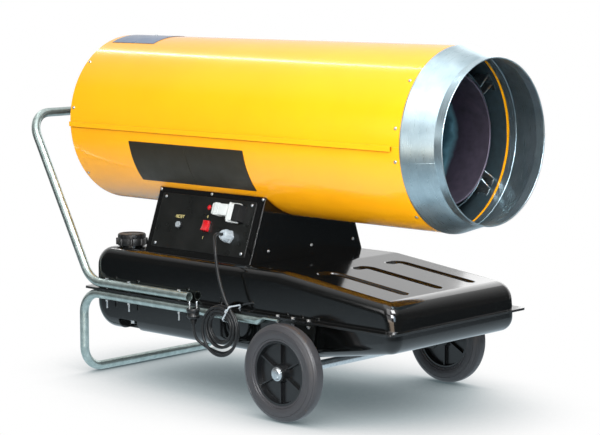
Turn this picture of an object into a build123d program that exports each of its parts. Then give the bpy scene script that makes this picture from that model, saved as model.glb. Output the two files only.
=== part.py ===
"""Mobile forced air heater: a two-shell barrel on a pedestal, a fuel tank and a wheeled tube frame.

Millimetres, +Z up. Warm air leaves the outlet cone towards -Y and the control panel faces -X.
The origin is on the floor, below the middle of the object.
"""
import os
from math import atan2, cos, degrees, pi, radians, sin, tan

from build123d import *

os.makedirs("parts", exist_ok=True)

# ---------------------------------------------------------------- driving dimensions
SHEET = 1.5            # casing sheet
TOUCH = 0.3            # clearance between fixed curved faces
RUN = 0.05             # radial running clearance of a shaft
HOLE = 0.3             # radial clearance of a bolt or screw in its hole

# barrel
BARREL_R = 235.0
BARREL_LENGTH = 1210.0
AXIS_Z = 708.0
AXLE_TO_BARREL = 296.0   # wheel axle to the barrel's front edge
SEAM_DROP = 16.0         # lip's lower edge, below the barrel's axis
LIP_HEIGHT = 12.0
LIP_STEP = 5.0
LIP_FRONT_GAP = 27.0
HATCH_LENGTH = 260.0     # opening in the barrel's underside, above the pedestal
HATCH_WIDTH = 120.0

# outlet cone
CONE_DEPTH = 109.5
CONE_NOSE_R = 208.5
CONE_RIM_R = 236.5
COLLAR_LENGTH = 25.0
SPIGOT_LENGTH = 20.0
RIM_LENGTH = 3.0

# hot parts
CHAMBER_R = 168.0
CHAMBER_SETBACK = 34.0
CHAMBER_TO_REAR = 576.0   # chamber's rear end to the barrel's rear edge
CHAMBER_CONE = 90.0
CHAMBER_WALL = 2.0
BEAD_R = 3.0
SHIELD_R = 186.0
SHIELD_SHORTER = 40.0      # than the chamber
SHIELD_SETBACK = 46.0
LINER_LONGER = 10.0        # than the chamber
LINER_SETBACK = 29.0
BRACKET_ANGLES = (-36.0, 36.0, 144.0, 216.0)
CLIP_ANGLES = (-52.0, 52.0, 128.0, 232.0)

# burner
BLAST_R = 55.0
BLAST_LENGTH = 154.0
DIFFUSER_R = 46.0
NOZZLE_R = 9.0

# fan and motor
MOTOR_R = 62.0
MOTOR_LENGTH = 190.0
MOTOR_SETBACK = 134.0    # motor's rear face, in front of the barrel's rear edge
SHAFT_R = 7.0
FAN_R = 214.0
FAN_HUB_R = 34.0
FAN_HUB_LENGTH = 46.0
FAN_BLADES = 6
BLADE_THICKNESS = 3.0
GUARD_SETBACK = 2.0
GUARD_DEPTH = 20.0
GUARD_WIRE = 4.0
PUMP_R = 30.0
PUMP_LENGTH = 52.0
COUPLING_LENGTH = 26.0

# pedestal and control panel
PEDESTAL_FRONT = 220.0   # behind the axle
PEDESTAL_LENGTH = 402.0
PEDESTAL_FOOT_W = 444.0
PEDESTAL_TOP_W = 320.0
PEDESTAL_TOP_Z = 537.0
PANEL_LENGTH = 356.0
PANEL_HEIGHT = 152.0
PANEL_SHEET = 2.0
PANEL_CORNER_R = 4.0
PANEL_SCREW_PITCH_X = 328.0
PANEL_SCREW_PITCH_Y = 132.0

# tank
FLANGE_Z = 248.0
FLANGE_T = 3.0             # each of the two lips
FLANGE_FRONT = 307.0     # in front of the axle
FLANGE_REAR = 819.0      # behind the axle
FLANGE_SIDE = 27.0       # beyond the tank's side
FLANGE_CORNER_R = 12.0
TANK_WIDTH = 496.0
TANK_WALL = 2.0
TANK_FRONT = 297.0       # in front of the axle
TANK_REAR = 806.0        # behind the axle
DECK_Z = 363.0
DECK_FRONT = 95.0        # behind the axle: where the ramp starts
RAMP_DROP = 46.0         # at the tank's front end
BOTTOM_Z = 138.0
BOTTOM_FRONT = 60.0      # behind the axle: where the underside starts to rise
BELLY_RISE = 58.0        # at the tank's front end
NOSE_LEAN = 8.0          # the front face leans back this far below the ramp
NOSE_R = 50.0
REAR_TOP_R = 55.0
REAR_BOTTOM_R = 70.0
SHOULDER_R = 30.0
GROOVE_PLACES = (-122.0, 13.0, 146.0)
GROOVE_WIDTH = 28.0
GROOVE_DEPTH = 5.0
GROOVE_WALL = 35.0       # degrees the walls lean
GROOVE_LENGTH = 217.0
GROOVE_REAR = 97.0       # down the ramp to where the groove bends aside
GROOVE_BEND_R = 22.0
GROOVE_TAIL = 15.0
GROOVE_EDGE_R = 4.0

# filler
FILLER_X = -181.0
FILLER_BACK = 721.0
NECK_R = 33.0
NECK_BORE_R = 30.0
NECK_HEIGHT = 22.0
CAP_R = 40.0
CAP_TOP_R = 38.5
CAP_GRIP_R = 4.5
CAP_HEIGHT = 32.0
CAP_LIFT = 4.0           # cap's lower edge above the deck

# tube frame
TUBE_R = 12.5
TUBE_WALL = 2.0
TUBE_GAP = 3.5           # tube to the tank's side
SEAT_GAP = 0.2
HANDLE_FRONT = 406.0     # behind the axle
HANDLE_CORNER = 803.0
HANDLE_LEAN = 29.2       # degrees from upright
HANDLE_TOP_Z = 722.0
HANDLE_BEND_R = 78.0
HANDLE_TOP_BEND_R = 72.0
LEG_FRONT = 150.0        # where the leg tube becomes round
LEG_REAR = 832.0
LEG_BEND_R = 62.0
FLAT_TAPER = 30.0
FLAT_LENGTH = 51.0
FLAT_WIDTH = 30.0
FLAT_T = 5.0
BOLT_R = 3.0
BOLT_BACK = (445.0, 644.0, 734.0)
BOLT_TAIL = 24.0

# wheels
WHEEL_R = 125.0
TYRE_WIDTH = 48.0
RIM_R = 82.0
RIM_WIDTH = 34.0
HUB_R = 21.0
HUB_LENGTH = 46.0
TRACK = 658.0
AXLE_R = 10.0
WHEEL_RIBS = 6
AXLE_SHOULDER_R = 12.0
BRACKET_GAP = 5.0        # upright plate to the tank's side
BRACKET_T = 5.0
BRACKET_SPREAD = 45.0

# supply cord
CORD_R = 4.0
COIL_R = 66.0
COIL_TURNS = 3           # turns in each of the two layers
COIL_PITCH_TIED = 8.7    # radial pitch beside the tie
COIL_PITCH_LOOSE = 12.5  # radial pitch on the far side, where the turns fan out
COIL_LAYER = 9.2
COIL_BACK = 268.0        # behind the axle
COIL_Z = 198.0
COIL_START = 40.0        # degrees above the front side, where the drop joins
SLACK = 11.0             # how much further the first turn sags
PLUG_R = 18.0
PLUG_LENGTH = 42.0
PIN_R = 2.4
PIN_LENGTH = 19.0
PIN_PITCH = 19.0
TIE_WIDTH = 4.5
TIE_T = 1.2

# plates and screws on the casing
PLATE_T = 1.0
SIDE_PLATE = (238.0, 675.0, 457.0)    # front, rear and dividing line, behind the axle
SIDE_PLATE_GAP = 1.0
TOP_PLATE = (721.0, 892.0)
SCREW_R = 2.0
SCREW_HEAD_R = 4.5
SCREW_HEAD_H = 2.2
SCREW_LENGTH = 7.0

# ---------------------------------------------------------------- derived places
handle_tube_z = FLANGE_Z + FLANGE_T + SEAT_GAP + TUBE_R
leg_tube_z = FLANGE_Z - FLANGE_T - SEAT_GAP - TUBE_R
handle_run = (HANDLE_TOP_Z - handle_tube_z) * tan(radians(HANDLE_LEAN))
front_reach = AXLE_TO_BARREL + CONE_DEPTH
rear_reach = HANDLE_CORNER + handle_run + TUBE_R
AXLE_Y = (front_reach - rear_reach) / 2
OUTLET_Y = AXLE_Y - front_reach
BARREL_Y = OUTLET_Y + CONE_DEPTH
BARREL_END_Y = BARREL_Y + BARREL_LENGTH
SHELL_INNER_R = BARREL_R - SHEET
SEAM_Z = AXIS_Z - SEAM_DROP
SHELF_Z = SEAM_Z + LIP_HEIGHT
CHAMBER_Y = BARREL_Y + CHAMBER_SETBACK
CHAMBER_END_Y = BARREL_END_Y - CHAMBER_TO_REAR
CHAMBER_LENGTH = CHAMBER_END_Y - CHAMBER_Y
MOTOR_REAR_Y = BARREL_END_Y - MOTOR_SETBACK
MOTOR_Y = MOTOR_REAR_Y - MOTOR_LENGTH
PEDESTAL_Y = AXLE_Y + PEDESTAL_FRONT
FILLER_Y = AXLE_Y + FILLER_BACK
AXLE_Z = WHEEL_R
FLANGE_WIDTH = TANK_WIDTH + 2 * FLANGE_SIDE
TUBE_X = TANK_WIDTH / 2 + TUBE_GAP + TUBE_R
BRACKET_X = TANK_WIDTH / 2 + BRACKET_GAP + BRACKET_T    # outer face of the upright plates

# casing screws as (y, angle above the panel side), with the same on the far side
front_screw_y = BARREL_Y + 16
rear_screw_y = BARREL_END_Y - 12
TOP_SCREW_Y = AXLE_Y + sum(TOP_PLATE) / 2
FRONT_UPPER_SCREWS = [(front_screw_y, a) for a in (10, 41, 139, 170)]
FRONT_LOWER_SCREWS = [(front_screw_y, a) for a in (-10, -51, -129, -170)]
REAR_UPPER_SCREWS = [(rear_screw_y, a) for a in (9, 44, 136, 171)]
REAR_LOWER_SCREWS = [(rear_screw_y, a) for a in (-40, -140)]
REAR_SCREWS = REAR_UPPER_SCREWS + REAR_LOWER_SCREWS


# ---------------------------------------------------------------- shared helpers
def finish(builder, label):
    """Label a finished piece and write its file."""
    builder.part.label = label
    export_step(builder.part, f"parts/{label}.step")


def barrel_plane(y):
    """Plane across the barrel at y: local x towards the panel side, local y up, normal +Y."""
    return Plane(origin=(0, y, AXIS_Z), x_dir=(-1, 0, 0), z_dir=(0, 1, 0))


def radial_plane(y, angle, radius=BARREL_R):
    """Plane on the barrel facing outwards; the angle rises from the panel side, local x is +Y."""
    out = Vector(-cos(radians(angle)), 0, sin(radians(angle)))
    return Plane(origin=Vector(0, y, AXIS_Z) + out * radius, x_dir=(0, 1, 0), z_dir=out)


def upright_plane(y):
    """Plane across the object at y with its origin on the floor, normal +Y."""
    return Plane(origin=(0, y, 0), x_dir=(-1, 0, 0), z_dir=(0, 1, 0))


def sector_face(inner, outer, start, sweep_angle):
    """Sketch face between two radii, over an angle in degrees."""
    with BuildLine() as outline:
        rim = CenterArc((0, 0), outer, start, sweep_angle)
        root = CenterArc((0, 0), inner, start, sweep_angle)
        Line(rim @ 0, root @ 0)
        Line(rim @ 1, root @ 1)
    make_face(outline.edges())


def barrel_ring(y, length, inner, outer):
    """Plain ring round the barrel's axis, from y backwards."""
    with BuildPart() as ring:
        with BuildSketch(barrel_plane(y)):
            Circle(outer)
            Circle(inner, mode=Mode.SUBTRACT)
        extrude(amount=length)
    return ring.part


def mirrored_x(points):
    """The same points on the other side of the object, in reverse order."""
    return [(-x, y, z) for x, y, z in reversed(points)]


# ================================================================ barrel casing
lap_z = SHELF_Z - TOUCH - AXIS_Z    # lower shell's top edge, from the axis

with BuildPart() as lower_shell:
    with BuildSketch(barrel_plane(BARREL_Y)):
        Circle(BARREL_R)
        Circle(SHELL_INNER_R, mode=Mode.SUBTRACT)
        with Locations((0, lap_z + BARREL_R)):
            Rectangle(3 * BARREL_R, 2 * BARREL_R, mode=Mode.SUBTRACT)
    extrude(amount=BARREL_LENGTH)
    with BuildSketch(Plane.XY.offset(AXIS_Z - BARREL_R - SHEET)):
        with Locations((0, PEDESTAL_Y + PEDESTAL_LENGTH / 2)):
            RectangleRounded(HATCH_WIDTH, HATCH_LENGTH, 10)
    extrude(amount=BARREL_R / 2, mode=Mode.SUBTRACT)
    with BuildSketch(*[radial_plane(y, a) for y, a in FRONT_LOWER_SCREWS + REAR_LOWER_SCREWS]):
        Circle(SCREW_R + HOLE)
    extrude(amount=SCREW_LENGTH, both=True, mode=Mode.SUBTRACT)
finish(lower_shell, "lower_shell")

with BuildPart() as upper_shell:
    with BuildSketch(barrel_plane(BARREL_Y)):
        Circle(BARREL_R)
        Circle(SHELL_INNER_R, mode=Mode.SUBTRACT)
        with Locations((0, SHELF_Z - AXIS_Z - BARREL_R)):
            Rectangle(3 * BARREL_R, 2 * BARREL_R, mode=Mode.SUBTRACT)
    extrude(amount=BARREL_LENGTH)
    with BuildSketch(barrel_plane(BARREL_Y + LIP_FRONT_GAP)):
        for side in (-1, 1):
            with BuildLine():
                wall_x = side * (BARREL_R - SHEET / 2)
                lip_x = side * (BARREL_R + LIP_STEP)
                hem_x = lip_x - side * SHEET
                Polyline(
                    (wall_x, SHELF_Z - AXIS_Z),
                    (hem_x, SHELF_Z - AXIS_Z),
                    (hem_x, SEAM_Z - AXIS_Z),
                    (lip_x, SEAM_Z - AXIS_Z),
                    (lip_x, SHELF_Z - AXIS_Z + SHEET),
                    (wall_x, SHELF_Z - AXIS_Z + SHEET),
                    close=True,
                )
            make_face()
    extrude(amount=BARREL_LENGTH - LIP_FRONT_GAP)
    upper_screws = FRONT_UPPER_SCREWS + REAR_UPPER_SCREWS + [(TOP_SCREW_Y, 90)]
    with BuildSketch(*[radial_plane(y, a) for y, a in upper_screws]):
        Circle(SCREW_R + HOLE)
    extrude(amount=SCREW_LENGTH, both=True, mode=Mode.SUBTRACT)
finish(upper_shell, "upper_shell")

# the cone: a spigot inside the shells, a rim against their edge, a taper and a plain collar,
# with a bead inside where the spigot is joined
JOINT_BEAD_R = 1.4
spigot_r = SHELL_INNER_R - TOUCH
crease_y = OUTLET_Y + COLLAR_LENGTH
with BuildPart() as outlet_cone:
    with BuildSketch(Plane.YZ):
        with BuildLine():
            Polyline(
                (BARREL_Y + SPIGOT_LENGTH, AXIS_Z + spigot_r),
                (BARREL_Y - TOUCH, AXIS_Z + spigot_r),
                (BARREL_Y - TOUCH, AXIS_Z + CONE_RIM_R),
                (BARREL_Y - TOUCH - RIM_LENGTH, AXIS_Z + CONE_RIM_R),
                (crease_y, AXIS_Z + CONE_NOSE_R),
                (OUTLET_Y, AXIS_Z + CONE_NOSE_R),
                (OUTLET_Y, AXIS_Z + CONE_NOSE_R - SHEET),
                (crease_y, AXIS_Z + CONE_NOSE_R - SHEET),
                (BARREL_Y - TOUCH - SHEET, AXIS_Z + spigot_r - SHEET),
                (BARREL_Y + SPIGOT_LENGTH, AXIS_Z + spigot_r - SHEET),
                close=True,
            )
        make_face()
        with Locations((BARREL_Y - TOUCH - SHEET, AXIS_Z + spigot_r - SHEET)):
            Circle(JOINT_BEAD_R)
    revolve(axis=Axis((0, 0, AXIS_Z), (0, 1, 0)))
    with BuildSketch(*[radial_plane(y, a) for y, a in FRONT_UPPER_SCREWS + FRONT_LOWER_SCREWS]):
        Circle(SCREW_R + HOLE)
    extrude(amount=SCREW_LENGTH, both=True, mode=Mode.SUBTRACT)
finish(outlet_cone, "outlet_cone")

# ================================================================ hot parts inside the barrel
liner_r = SHELL_INNER_R - TOUCH
with BuildPart() as inner_liner:
    add(barrel_ring(BARREL_Y + LINER_SETBACK, CHAMBER_LENGTH + LINER_LONGER, liner_r - SHEET, liner_r))
    with BuildSketch(Plane.XY.offset(AXIS_Z - BARREL_R - SHEET)):
        with Locations((0, PEDESTAL_Y + PEDESTAL_LENGTH / 2)):
            Rectangle(HATCH_WIDTH, HATCH_LENGTH)
    extrude(amount=BARREL_R / 2, mode=Mode.SUBTRACT)
finish(inner_liner, "inner_liner")

shield_y = BARREL_Y + SHIELD_SETBACK
shield_inner_r = SHIELD_R - SHEET
with BuildPart() as chamber_shield:
    add(barrel_ring(shield_y, CHAMBER_LENGTH - SHIELD_SHORTER, shield_inner_r, SHIELD_R))
finish(chamber_shield, "chamber_shield")

# combustion chamber: rolled front rim, straight wall and a conical back round the blast tube
chamber_inner_r = CHAMBER_R - CHAMBER_WALL
back_y = CHAMBER_END_Y - CHAMBER_CONE
blast_seat_r = BLAST_R + TOUCH
with BuildPart() as combustion_chamber:
    with BuildSketch(Plane.YZ):
        with BuildLine():
            Polyline(
                (CHAMBER_Y, AXIS_Z + CHAMBER_R),
                (back_y, AXIS_Z + CHAMBER_R),
                (CHAMBER_END_Y, AXIS_Z + blast_seat_r + CHAMBER_WALL),
                (CHAMBER_END_Y, AXIS_Z + blast_seat_r),
                (CHAMBER_END_Y - CHAMBER_WALL, AXIS_Z + blast_seat_r),
                (back_y - CHAMBER_WALL, AXIS_Z + chamber_inner_r),
                (CHAMBER_Y, AXIS_Z + chamber_inner_r),
                close=True,
            )
        make_face()
        with Locations((CHAMBER_Y, AXIS_Z + CHAMBER_R - CHAMBER_WALL / 2)):
            Circle(BEAD_R)
    revolve(axis=Axis((0, 0, AXIS_Z), (0, 1, 0)))
finish(combustion_chamber, "combustion_chamber")

# folded clips that hold the chamber inside its shield
CLIP_WIDTH = 26.0
CLIP_LENGTH = 20.0
clip_angle = degrees(CLIP_WIDTH / CHAMBER_R)
with BuildPart() as chamber_clips:
    for clip_y in (CHAMBER_Y + 19, back_y - 40):
        with BuildSketch(barrel_plane(clip_y)):
            for angle in CLIP_ANGLES:
                sector_face(CHAMBER_R, shield_inner_r, angle - clip_angle / 2, clip_angle)
        extrude(amount=CLIP_LENGTH)
finish(chamber_clips, "chamber_clips")

# pairs of slotted brackets that hold the shield inside the liner
FOOT_LENGTH = 40.0
FOOT_WIDTH = 22.0
FOOT_SPACING = 30.0
SLOT_LENGTH = 22.0
SLOT_R = 3.2
liner_inner_r = liner_r - SHEET
foot_inner_r = liner_inner_r - SHEET
foot_angle = degrees(FOOT_WIDTH / liner_inner_r)
web_angle = degrees(2 * SHEET / liner_inner_r)
foot_places = []
for angle in BRACKET_ANGLES:
    for shift in (-FOOT_SPACING / 2, FOOT_SPACING / 2):
        foot_places.append(angle + degrees(shift / liner_inner_r))
with BuildPart() as chamber_brackets:
    for bracket_y in (BARREL_Y + LINER_SETBACK + 14, back_y - 70):
        with BuildSketch(barrel_plane(bracket_y)):
            for place in foot_places:
                sector_face(foot_inner_r, liner_inner_r, place - foot_angle / 2, foot_angle)
                sector_face(SHIELD_R, liner_inner_r, place - foot_angle / 2, web_angle)
        extrude(amount=FOOT_LENGTH)
        slot_y = bracket_y + FOOT_LENGTH / 2
        slots = [radial_plane(slot_y, place + 2, SHIELD_R + 5) for place in foot_places]
        with BuildSketch(*slots):
            SlotOverall(SLOT_LENGTH, 2 * SLOT_R)
        extrude(amount=liner_inner_r - SHIELD_R, mode=Mode.SUBTRACT)
finish(chamber_brackets, "chamber_brackets")

# ================================================================ burner
blast_y = CHAMBER_END_Y - CHAMBER_WALL - 12
nozzle_y = blast_y + 40
with BuildPart() as blast_tube:
    add(barrel_ring(blast_y, BLAST_LENGTH, BLAST_R - CHAMBER_WALL, BLAST_R))
    add(barrel_ring(CHAMBER_END_Y + TOUCH, CHAMBER_WALL, BLAST_R - CHAMBER_WALL, BLAST_R + 14))
    # air slots round the rear end
    with BuildSketch(Plane(origin=(0, blast_y + BLAST_LENGTH - 40, AXIS_Z), z_dir=(1, 0, 0))):
        SlotOverall(60, 16)
    extrude(amount=2 * BLAST_R, both=True, mode=Mode.SUBTRACT)
finish(blast_tube, "blast_tube")

# slotted air diffuser with a centre hole for the nozzle and three struts to the blast tube
DIFFUSER_SLOTS = 12
with BuildPart() as air_diffuser:
    with BuildSketch(barrel_plane(nozzle_y - 14)):
        Circle(DIFFUSER_R)
        Circle(NOZZLE_R + 6, mode=Mode.SUBTRACT)
        with PolarLocations((DIFFUSER_R + NOZZLE_R + 6) / 2, DIFFUSER_SLOTS):
            Rectangle(DIFFUSER_R - NOZZLE_R - 16, 3, mode=Mode.SUBTRACT)
    extrude(amount=SHEET)
    with BuildSketch(barrel_plane(nozzle_y - 14)):
        for angle in (90, 210, 330):
            sector_face(DIFFUSER_R - 1, BLAST_R - CHAMBER_WALL - TOUCH, angle - 5, 10)
    extrude(amount=12)
finish(air_diffuser, "air_diffuser")

# nozzle, its holder and the plate across the blast tube's rear end that carries them
holder_plate_y = blast_y + BLAST_LENGTH
with BuildPart() as nozzle_holder:
    with BuildSketch(barrel_plane(holder_plate_y)):
        Circle(BLAST_R)
        with PolarLocations(BLAST_R * 0.62, 3, start_angle=30):
            Circle(9, mode=Mode.SUBTRACT)
    extrude(amount=3)
    with BuildSketch(barrel_plane(nozzle_y)):
        Circle(NOZZLE_R)
    extrude(amount=holder_plate_y - nozzle_y + 14)
    with BuildSketch(barrel_plane(nozzle_y - 10)):
        RegularPolygon(NOZZLE_R - 1, 6)
    extrude(amount=10)
    with BuildSketch(barrel_plane(nozzle_y - 18)):
        Circle(5)
    extrude(amount=8)
finish(nozzle_holder, "nozzle_holder")

ELECTRODE_X = 16.0
ELECTRODE_Z = 22.0
with BuildPart() as ignition_electrodes:
    for side in (-1, 1):
        with BuildSketch(barrel_plane(nozzle_y + 10)):
            with Locations((side * ELECTRODE_X, ELECTRODE_Z)):
                Circle(5.5)
        extrude(amount=holder_plate_y - nozzle_y - 10 - TOUCH)
        with BuildSketch(barrel_plane(nozzle_y - 10)):
            with Locations((side * ELECTRODE_X, ELECTRODE_Z)):
                Circle(1.2)
        extrude(amount=20)
finish(ignition_electrodes, "ignition_electrodes")

# ================================================================ fan motor, pump and fan
with BuildPart() as fan_motor:
    with BuildSketch(barrel_plane(MOTOR_Y)):
        Circle(MOTOR_R - 4)
    extrude(amount=MOTOR_LENGTH)
    with BuildSketch(barrel_plane(MOTOR_Y + 22)):
        Circle(MOTOR_R)
    extrude(amount=MOTOR_LENGTH - 44)
    with BuildSketch(barrel_plane(MOTOR_Y + 30)):
        with PolarLocations(MOTOR_R, 18):
            Rectangle(6, 4)
    extrude(amount=30)
    with BuildSketch(barrel_plane(MOTOR_Y)):
        Circle(SHAFT_R + RUN)
    extrude(amount=MOTOR_LENGTH, mode=Mode.SUBTRACT)
finish(fan_motor, "fan_motor")

# clamp ring round the motor with four arms to pads on the shells
ARM_WIDTH = 30.0
ARM_T = 5.0
bracket_mid_y = MOTOR_Y + MOTOR_LENGTH * 0.6
with BuildPart() as motor_bracket:
    with BuildSketch(barrel_plane(bracket_mid_y)):
        Circle(MOTOR_R + TOUCH + ARM_T)
        with PolarLocations((MOTOR_R + SHELL_INNER_R) / 2, 4, start_angle=45):
            Rectangle(SHELL_INNER_R - MOTOR_R - 2 * ARM_T, ARM_T)
        for angle in (45, 135, 225, 315):
            sector_face(SHELL_INNER_R - TOUCH - ARM_T, SHELL_INNER_R - TOUCH, angle - 5, 10)
        Circle(MOTOR_R + TOUCH, mode=Mode.SUBTRACT)
    extrude(amount=ARM_WIDTH)
finish(motor_bracket, "motor_bracket")

# pump with the bell that carries it on the motor's front face
pump_y = MOTOR_Y - COUPLING_LENGTH - PUMP_LENGTH
with BuildPart() as fuel_pump:
    with BuildSketch(barrel_plane(pump_y)):
        Circle(PUMP_R)
    extrude(amount=PUMP_LENGTH)
    with BuildSketch(barrel_plane(pump_y + 8)):
        Rectangle(2 * PUMP_R + 14, PUMP_R + 8)
        Rectangle(PUMP_R, 2 * PUMP_R + 10)
    extrude(amount=PUMP_LENGTH - 20)
    with BuildSketch(barrel_plane(MOTOR_Y - COUPLING_LENGTH)):
        Circle(PUMP_R + 6)
        Circle(PUMP_R - 6, mode=Mode.SUBTRACT)
    extrude(amount=COUPLING_LENGTH)
    with BuildSketch(barrel_plane(MOTOR_Y - COUPLING_LENGTH)):
        Circle(SHAFT_R + RUN)
    extrude(amount=-12, mode=Mode.SUBTRACT)
finish(fuel_pump, "fuel_pump")

shaft_y = MOTOR_Y - COUPLING_LENGTH - 10
with BuildPart() as motor_shaft:
    with BuildSketch(barrel_plane(shaft_y)):
        Circle(SHAFT_R)
    extrude(amount=MOTOR_REAR_Y + FAN_HUB_LENGTH + 22 - shaft_y)
finish(motor_shaft, "motor_shaft")

with BuildPart() as pump_coupling:
    with BuildSketch(barrel_plane(MOTOR_Y - COUPLING_LENGTH + 4)):
        RegularPolygon(15, 8)
        Circle(SHAFT_R, mode=Mode.SUBTRACT)
    extrude(amount=COUPLING_LENGTH - 8)
finish(pump_coupling, "pump_coupling")

# axial fan: twisted blades lofted from root to tip round a hub
fan_y = MOTOR_REAR_Y + 6
fan_middle = barrel_plane(fan_y + FAN_HUB_LENGTH / 2)
BLADE_ROOT_CHORD = 84.0
BLADE_TIP_CHORD = 128.0
BLADE_ROOT_PITCH = 46.0
BLADE_TIP_PITCH = 24.0
BLADE_CAMBER = 0.10


def blade_section(radius, chord, pitch):
    """Thin cambered section across a blade, square to its radius, pitched from the fan's plane."""
    across = Vector(cos(radians(pitch)), sin(radians(pitch)), 0)
    plane = Plane(origin=(0, fan_y + FAN_HUB_LENGTH / 2, AXIS_Z + radius), x_dir=across, z_dir=(0, 0, 1))
    with BuildSketch(plane) as section:
        with BuildLine():
            crown = chord * BLADE_CAMBER
            outer = ThreePointArc((-chord / 2, 0), (0, crown), (chord / 2, 0))
            inner = ThreePointArc((-chord / 2, -BLADE_THICKNESS), (0, crown - BLADE_THICKNESS),
                                  (chord / 2, -BLADE_THICKNESS))
            Line(outer @ 0, inner @ 0)
            Line(outer @ 1, inner @ 1)
        make_face()
    return section.sketch


with BuildPart() as blade:
    root_r = FAN_HUB_R * 0.6
    loft([
        blade_section(root_r, BLADE_ROOT_CHORD * 0.5, BLADE_ROOT_PITCH),
        blade_section(FAN_R * 0.5, BLADE_ROOT_CHORD, (BLADE_ROOT_PITCH + BLADE_TIP_PITCH) / 2),
        blade_section(FAN_R + 4, BLADE_TIP_CHORD, BLADE_TIP_PITCH),
    ])

with BuildPart() as fan:
    with BuildSketch(barrel_plane(fan_y)):
        Circle(FAN_HUB_R)
    extrude(amount=FAN_HUB_LENGTH)
    for index in range(FAN_BLADES):
        add(blade.part.rotate(Axis((0, 0, AXIS_Z), (0, 1, 0)), 360 / FAN_BLADES * index))
    with BuildSketch(fan_middle):
        Circle(FAN_R)
    extrude(amount=BLADE_TIP_CHORD, both=True, mode=Mode.INTERSECT)
    with BuildSketch(fan_middle):
        Circle(SHAFT_R)
    extrude(amount=BLADE_TIP_CHORD, both=True, mode=Mode.SUBTRACT)
finish(fan, "fan")

# wire guard over the air inlet: a band inside the barrel's rear end, rings and spokes
guard_r = SHELL_INNER_R - TOUCH
guard_y = BARREL_END_Y - GUARD_SETBACK - GUARD_DEPTH
RING_PITCH = 26.0
GUARD_SPOKES = 8
with BuildPart() as inlet_guard:
    with BuildSketch(barrel_plane(guard_y)):
        Circle(guard_r)
        Circle(guard_r - SHEET, mode=Mode.SUBTRACT)
    extrude(amount=GUARD_DEPTH)
    with BuildSketch(barrel_plane(guard_y + GUARD_WIRE)):
        for ring in range(1, int((guard_r - GUARD_WIRE) / RING_PITCH) + 1):
            radius = guard_r - ring * RING_PITCH + GUARD_WIRE / 2
            Circle(radius)
            Circle(radius - GUARD_WIRE, mode=Mode.SUBTRACT)
    extrude(amount=GUARD_WIRE)
    with BuildSketch(barrel_plane(guard_y)):
        with PolarLocations(guard_r / 2, GUARD_SPOKES):
            Rectangle(guard_r - 1, GUARD_WIRE)
    extrude(amount=GUARD_WIRE)
    with BuildSketch(*[radial_plane(y, a) for y, a in REAR_SCREWS]):
        Circle(SCREW_R + HOLE)
    extrude(amount=SCREW_LENGTH, both=True, mode=Mode.SUBTRACT)
finish(inlet_guard, "inlet_guard")

# ================================================================ pedestal
foot_half = PEDESTAL_FOOT_W / 2
top_half = PEDESTAL_TOP_W / 2
side_angle = atan2(foot_half - top_half, PEDESTAL_TOP_Z - DECK_Z)
PEDESTAL_HEM = 14.0
HOSE_X = 30.0
HOSE_Y = AXLE_Y + 541.0
HOSE_R = 5.0

# panel frame: origin at the panel's middle, local x to the front, local y up the slope
PANEL_MID_S = 92.3       # down the slope from the pedestal's top edge
PANEL_MID_BACK = 425.2   # behind the axle
out_of_panel = Vector(-cos(side_angle), 0, sin(side_angle))
panel_origin = (
    -(top_half + PANEL_MID_S * sin(side_angle)),
    AXLE_Y + PANEL_MID_BACK,
    PEDESTAL_TOP_Z - PANEL_MID_S * cos(side_angle),
)
wall_face = Plane(origin=panel_origin, x_dir=(0, -1, 0), z_dir=out_of_panel)
panel_face = wall_face.offset(PANEL_SHEET)

# places on the panel, from its middle: (towards the front, up the slope)
RESET_AT = (-88.0, -9.0)
ROCKER_AT = (17.0, -5.0)
LAMP_AT = (10.0, 48.0)
GLAND_AT = (108.0, -25.0)
SOCKET_AT = (135.0, 38.0)
RESET_R = 8.5
LAMP_R = 5.0
ROCKER_W = 23.0
ROCKER_H = 30.0
GLAND_R = 10.0

front_screw_places = [
    Plane(origin=(x, PEDESTAL_Y, DECK_Z + 30), x_dir=(1, 0, 0), z_dir=(0, -1, 0)) for x in (-152, 16, 185)
]
side_screw_places = []
for back in (617, 420, 222 + PEDESTAL_HEM / 2):
    on_slope = Plane(origin=wall_face.origin, x_dir=(0, -1, 0), z_dir=out_of_panel)
    spot = on_slope.from_local_coords((PANEL_MID_BACK - back, PANEL_MID_S - 7, 0))
    side_screw_places.append(Plane(origin=spot, x_dir=(0, -1, 0), z_dir=out_of_panel))
    across = Vector(-spot.X, spot.Y, spot.Z)
    far_out = (cos(side_angle), 0, sin(side_angle))
    side_screw_places.append(Plane(origin=across, x_dir=(0, -1, 0), z_dir=far_out))
panel_screw_places = []
for x in (-PANEL_SCREW_PITCH_X / 2, PANEL_SCREW_PITCH_X / 2):
    for y in (-PANEL_SCREW_PITCH_Y / 2, PANEL_SCREW_PITCH_Y / 2):
        spot = wall_face.from_local_coords((x, y, 0))
        panel_screw_places.append(Plane(origin=spot, x_dir=(0, -1, 0), z_dir=out_of_panel))


def pedestal_profile(inset, floor):
    """Tapered front outline of the pedestal as a face, inset from its outer surface."""
    slope = tan(side_angle)
    drop = inset / cos(side_angle)
    high = PEDESTAL_TOP_Z + PEDESTAL_HEM
    low_half = foot_half - drop - (floor - DECK_Z) * slope
    high_half = foot_half - drop - (high - DECK_Z) * slope
    with BuildLine() as outline:
        Polyline((-low_half, floor), (low_half, floor), (high_half, high), (-high_half, high), close=True)
    make_face(outline.edges())


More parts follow.
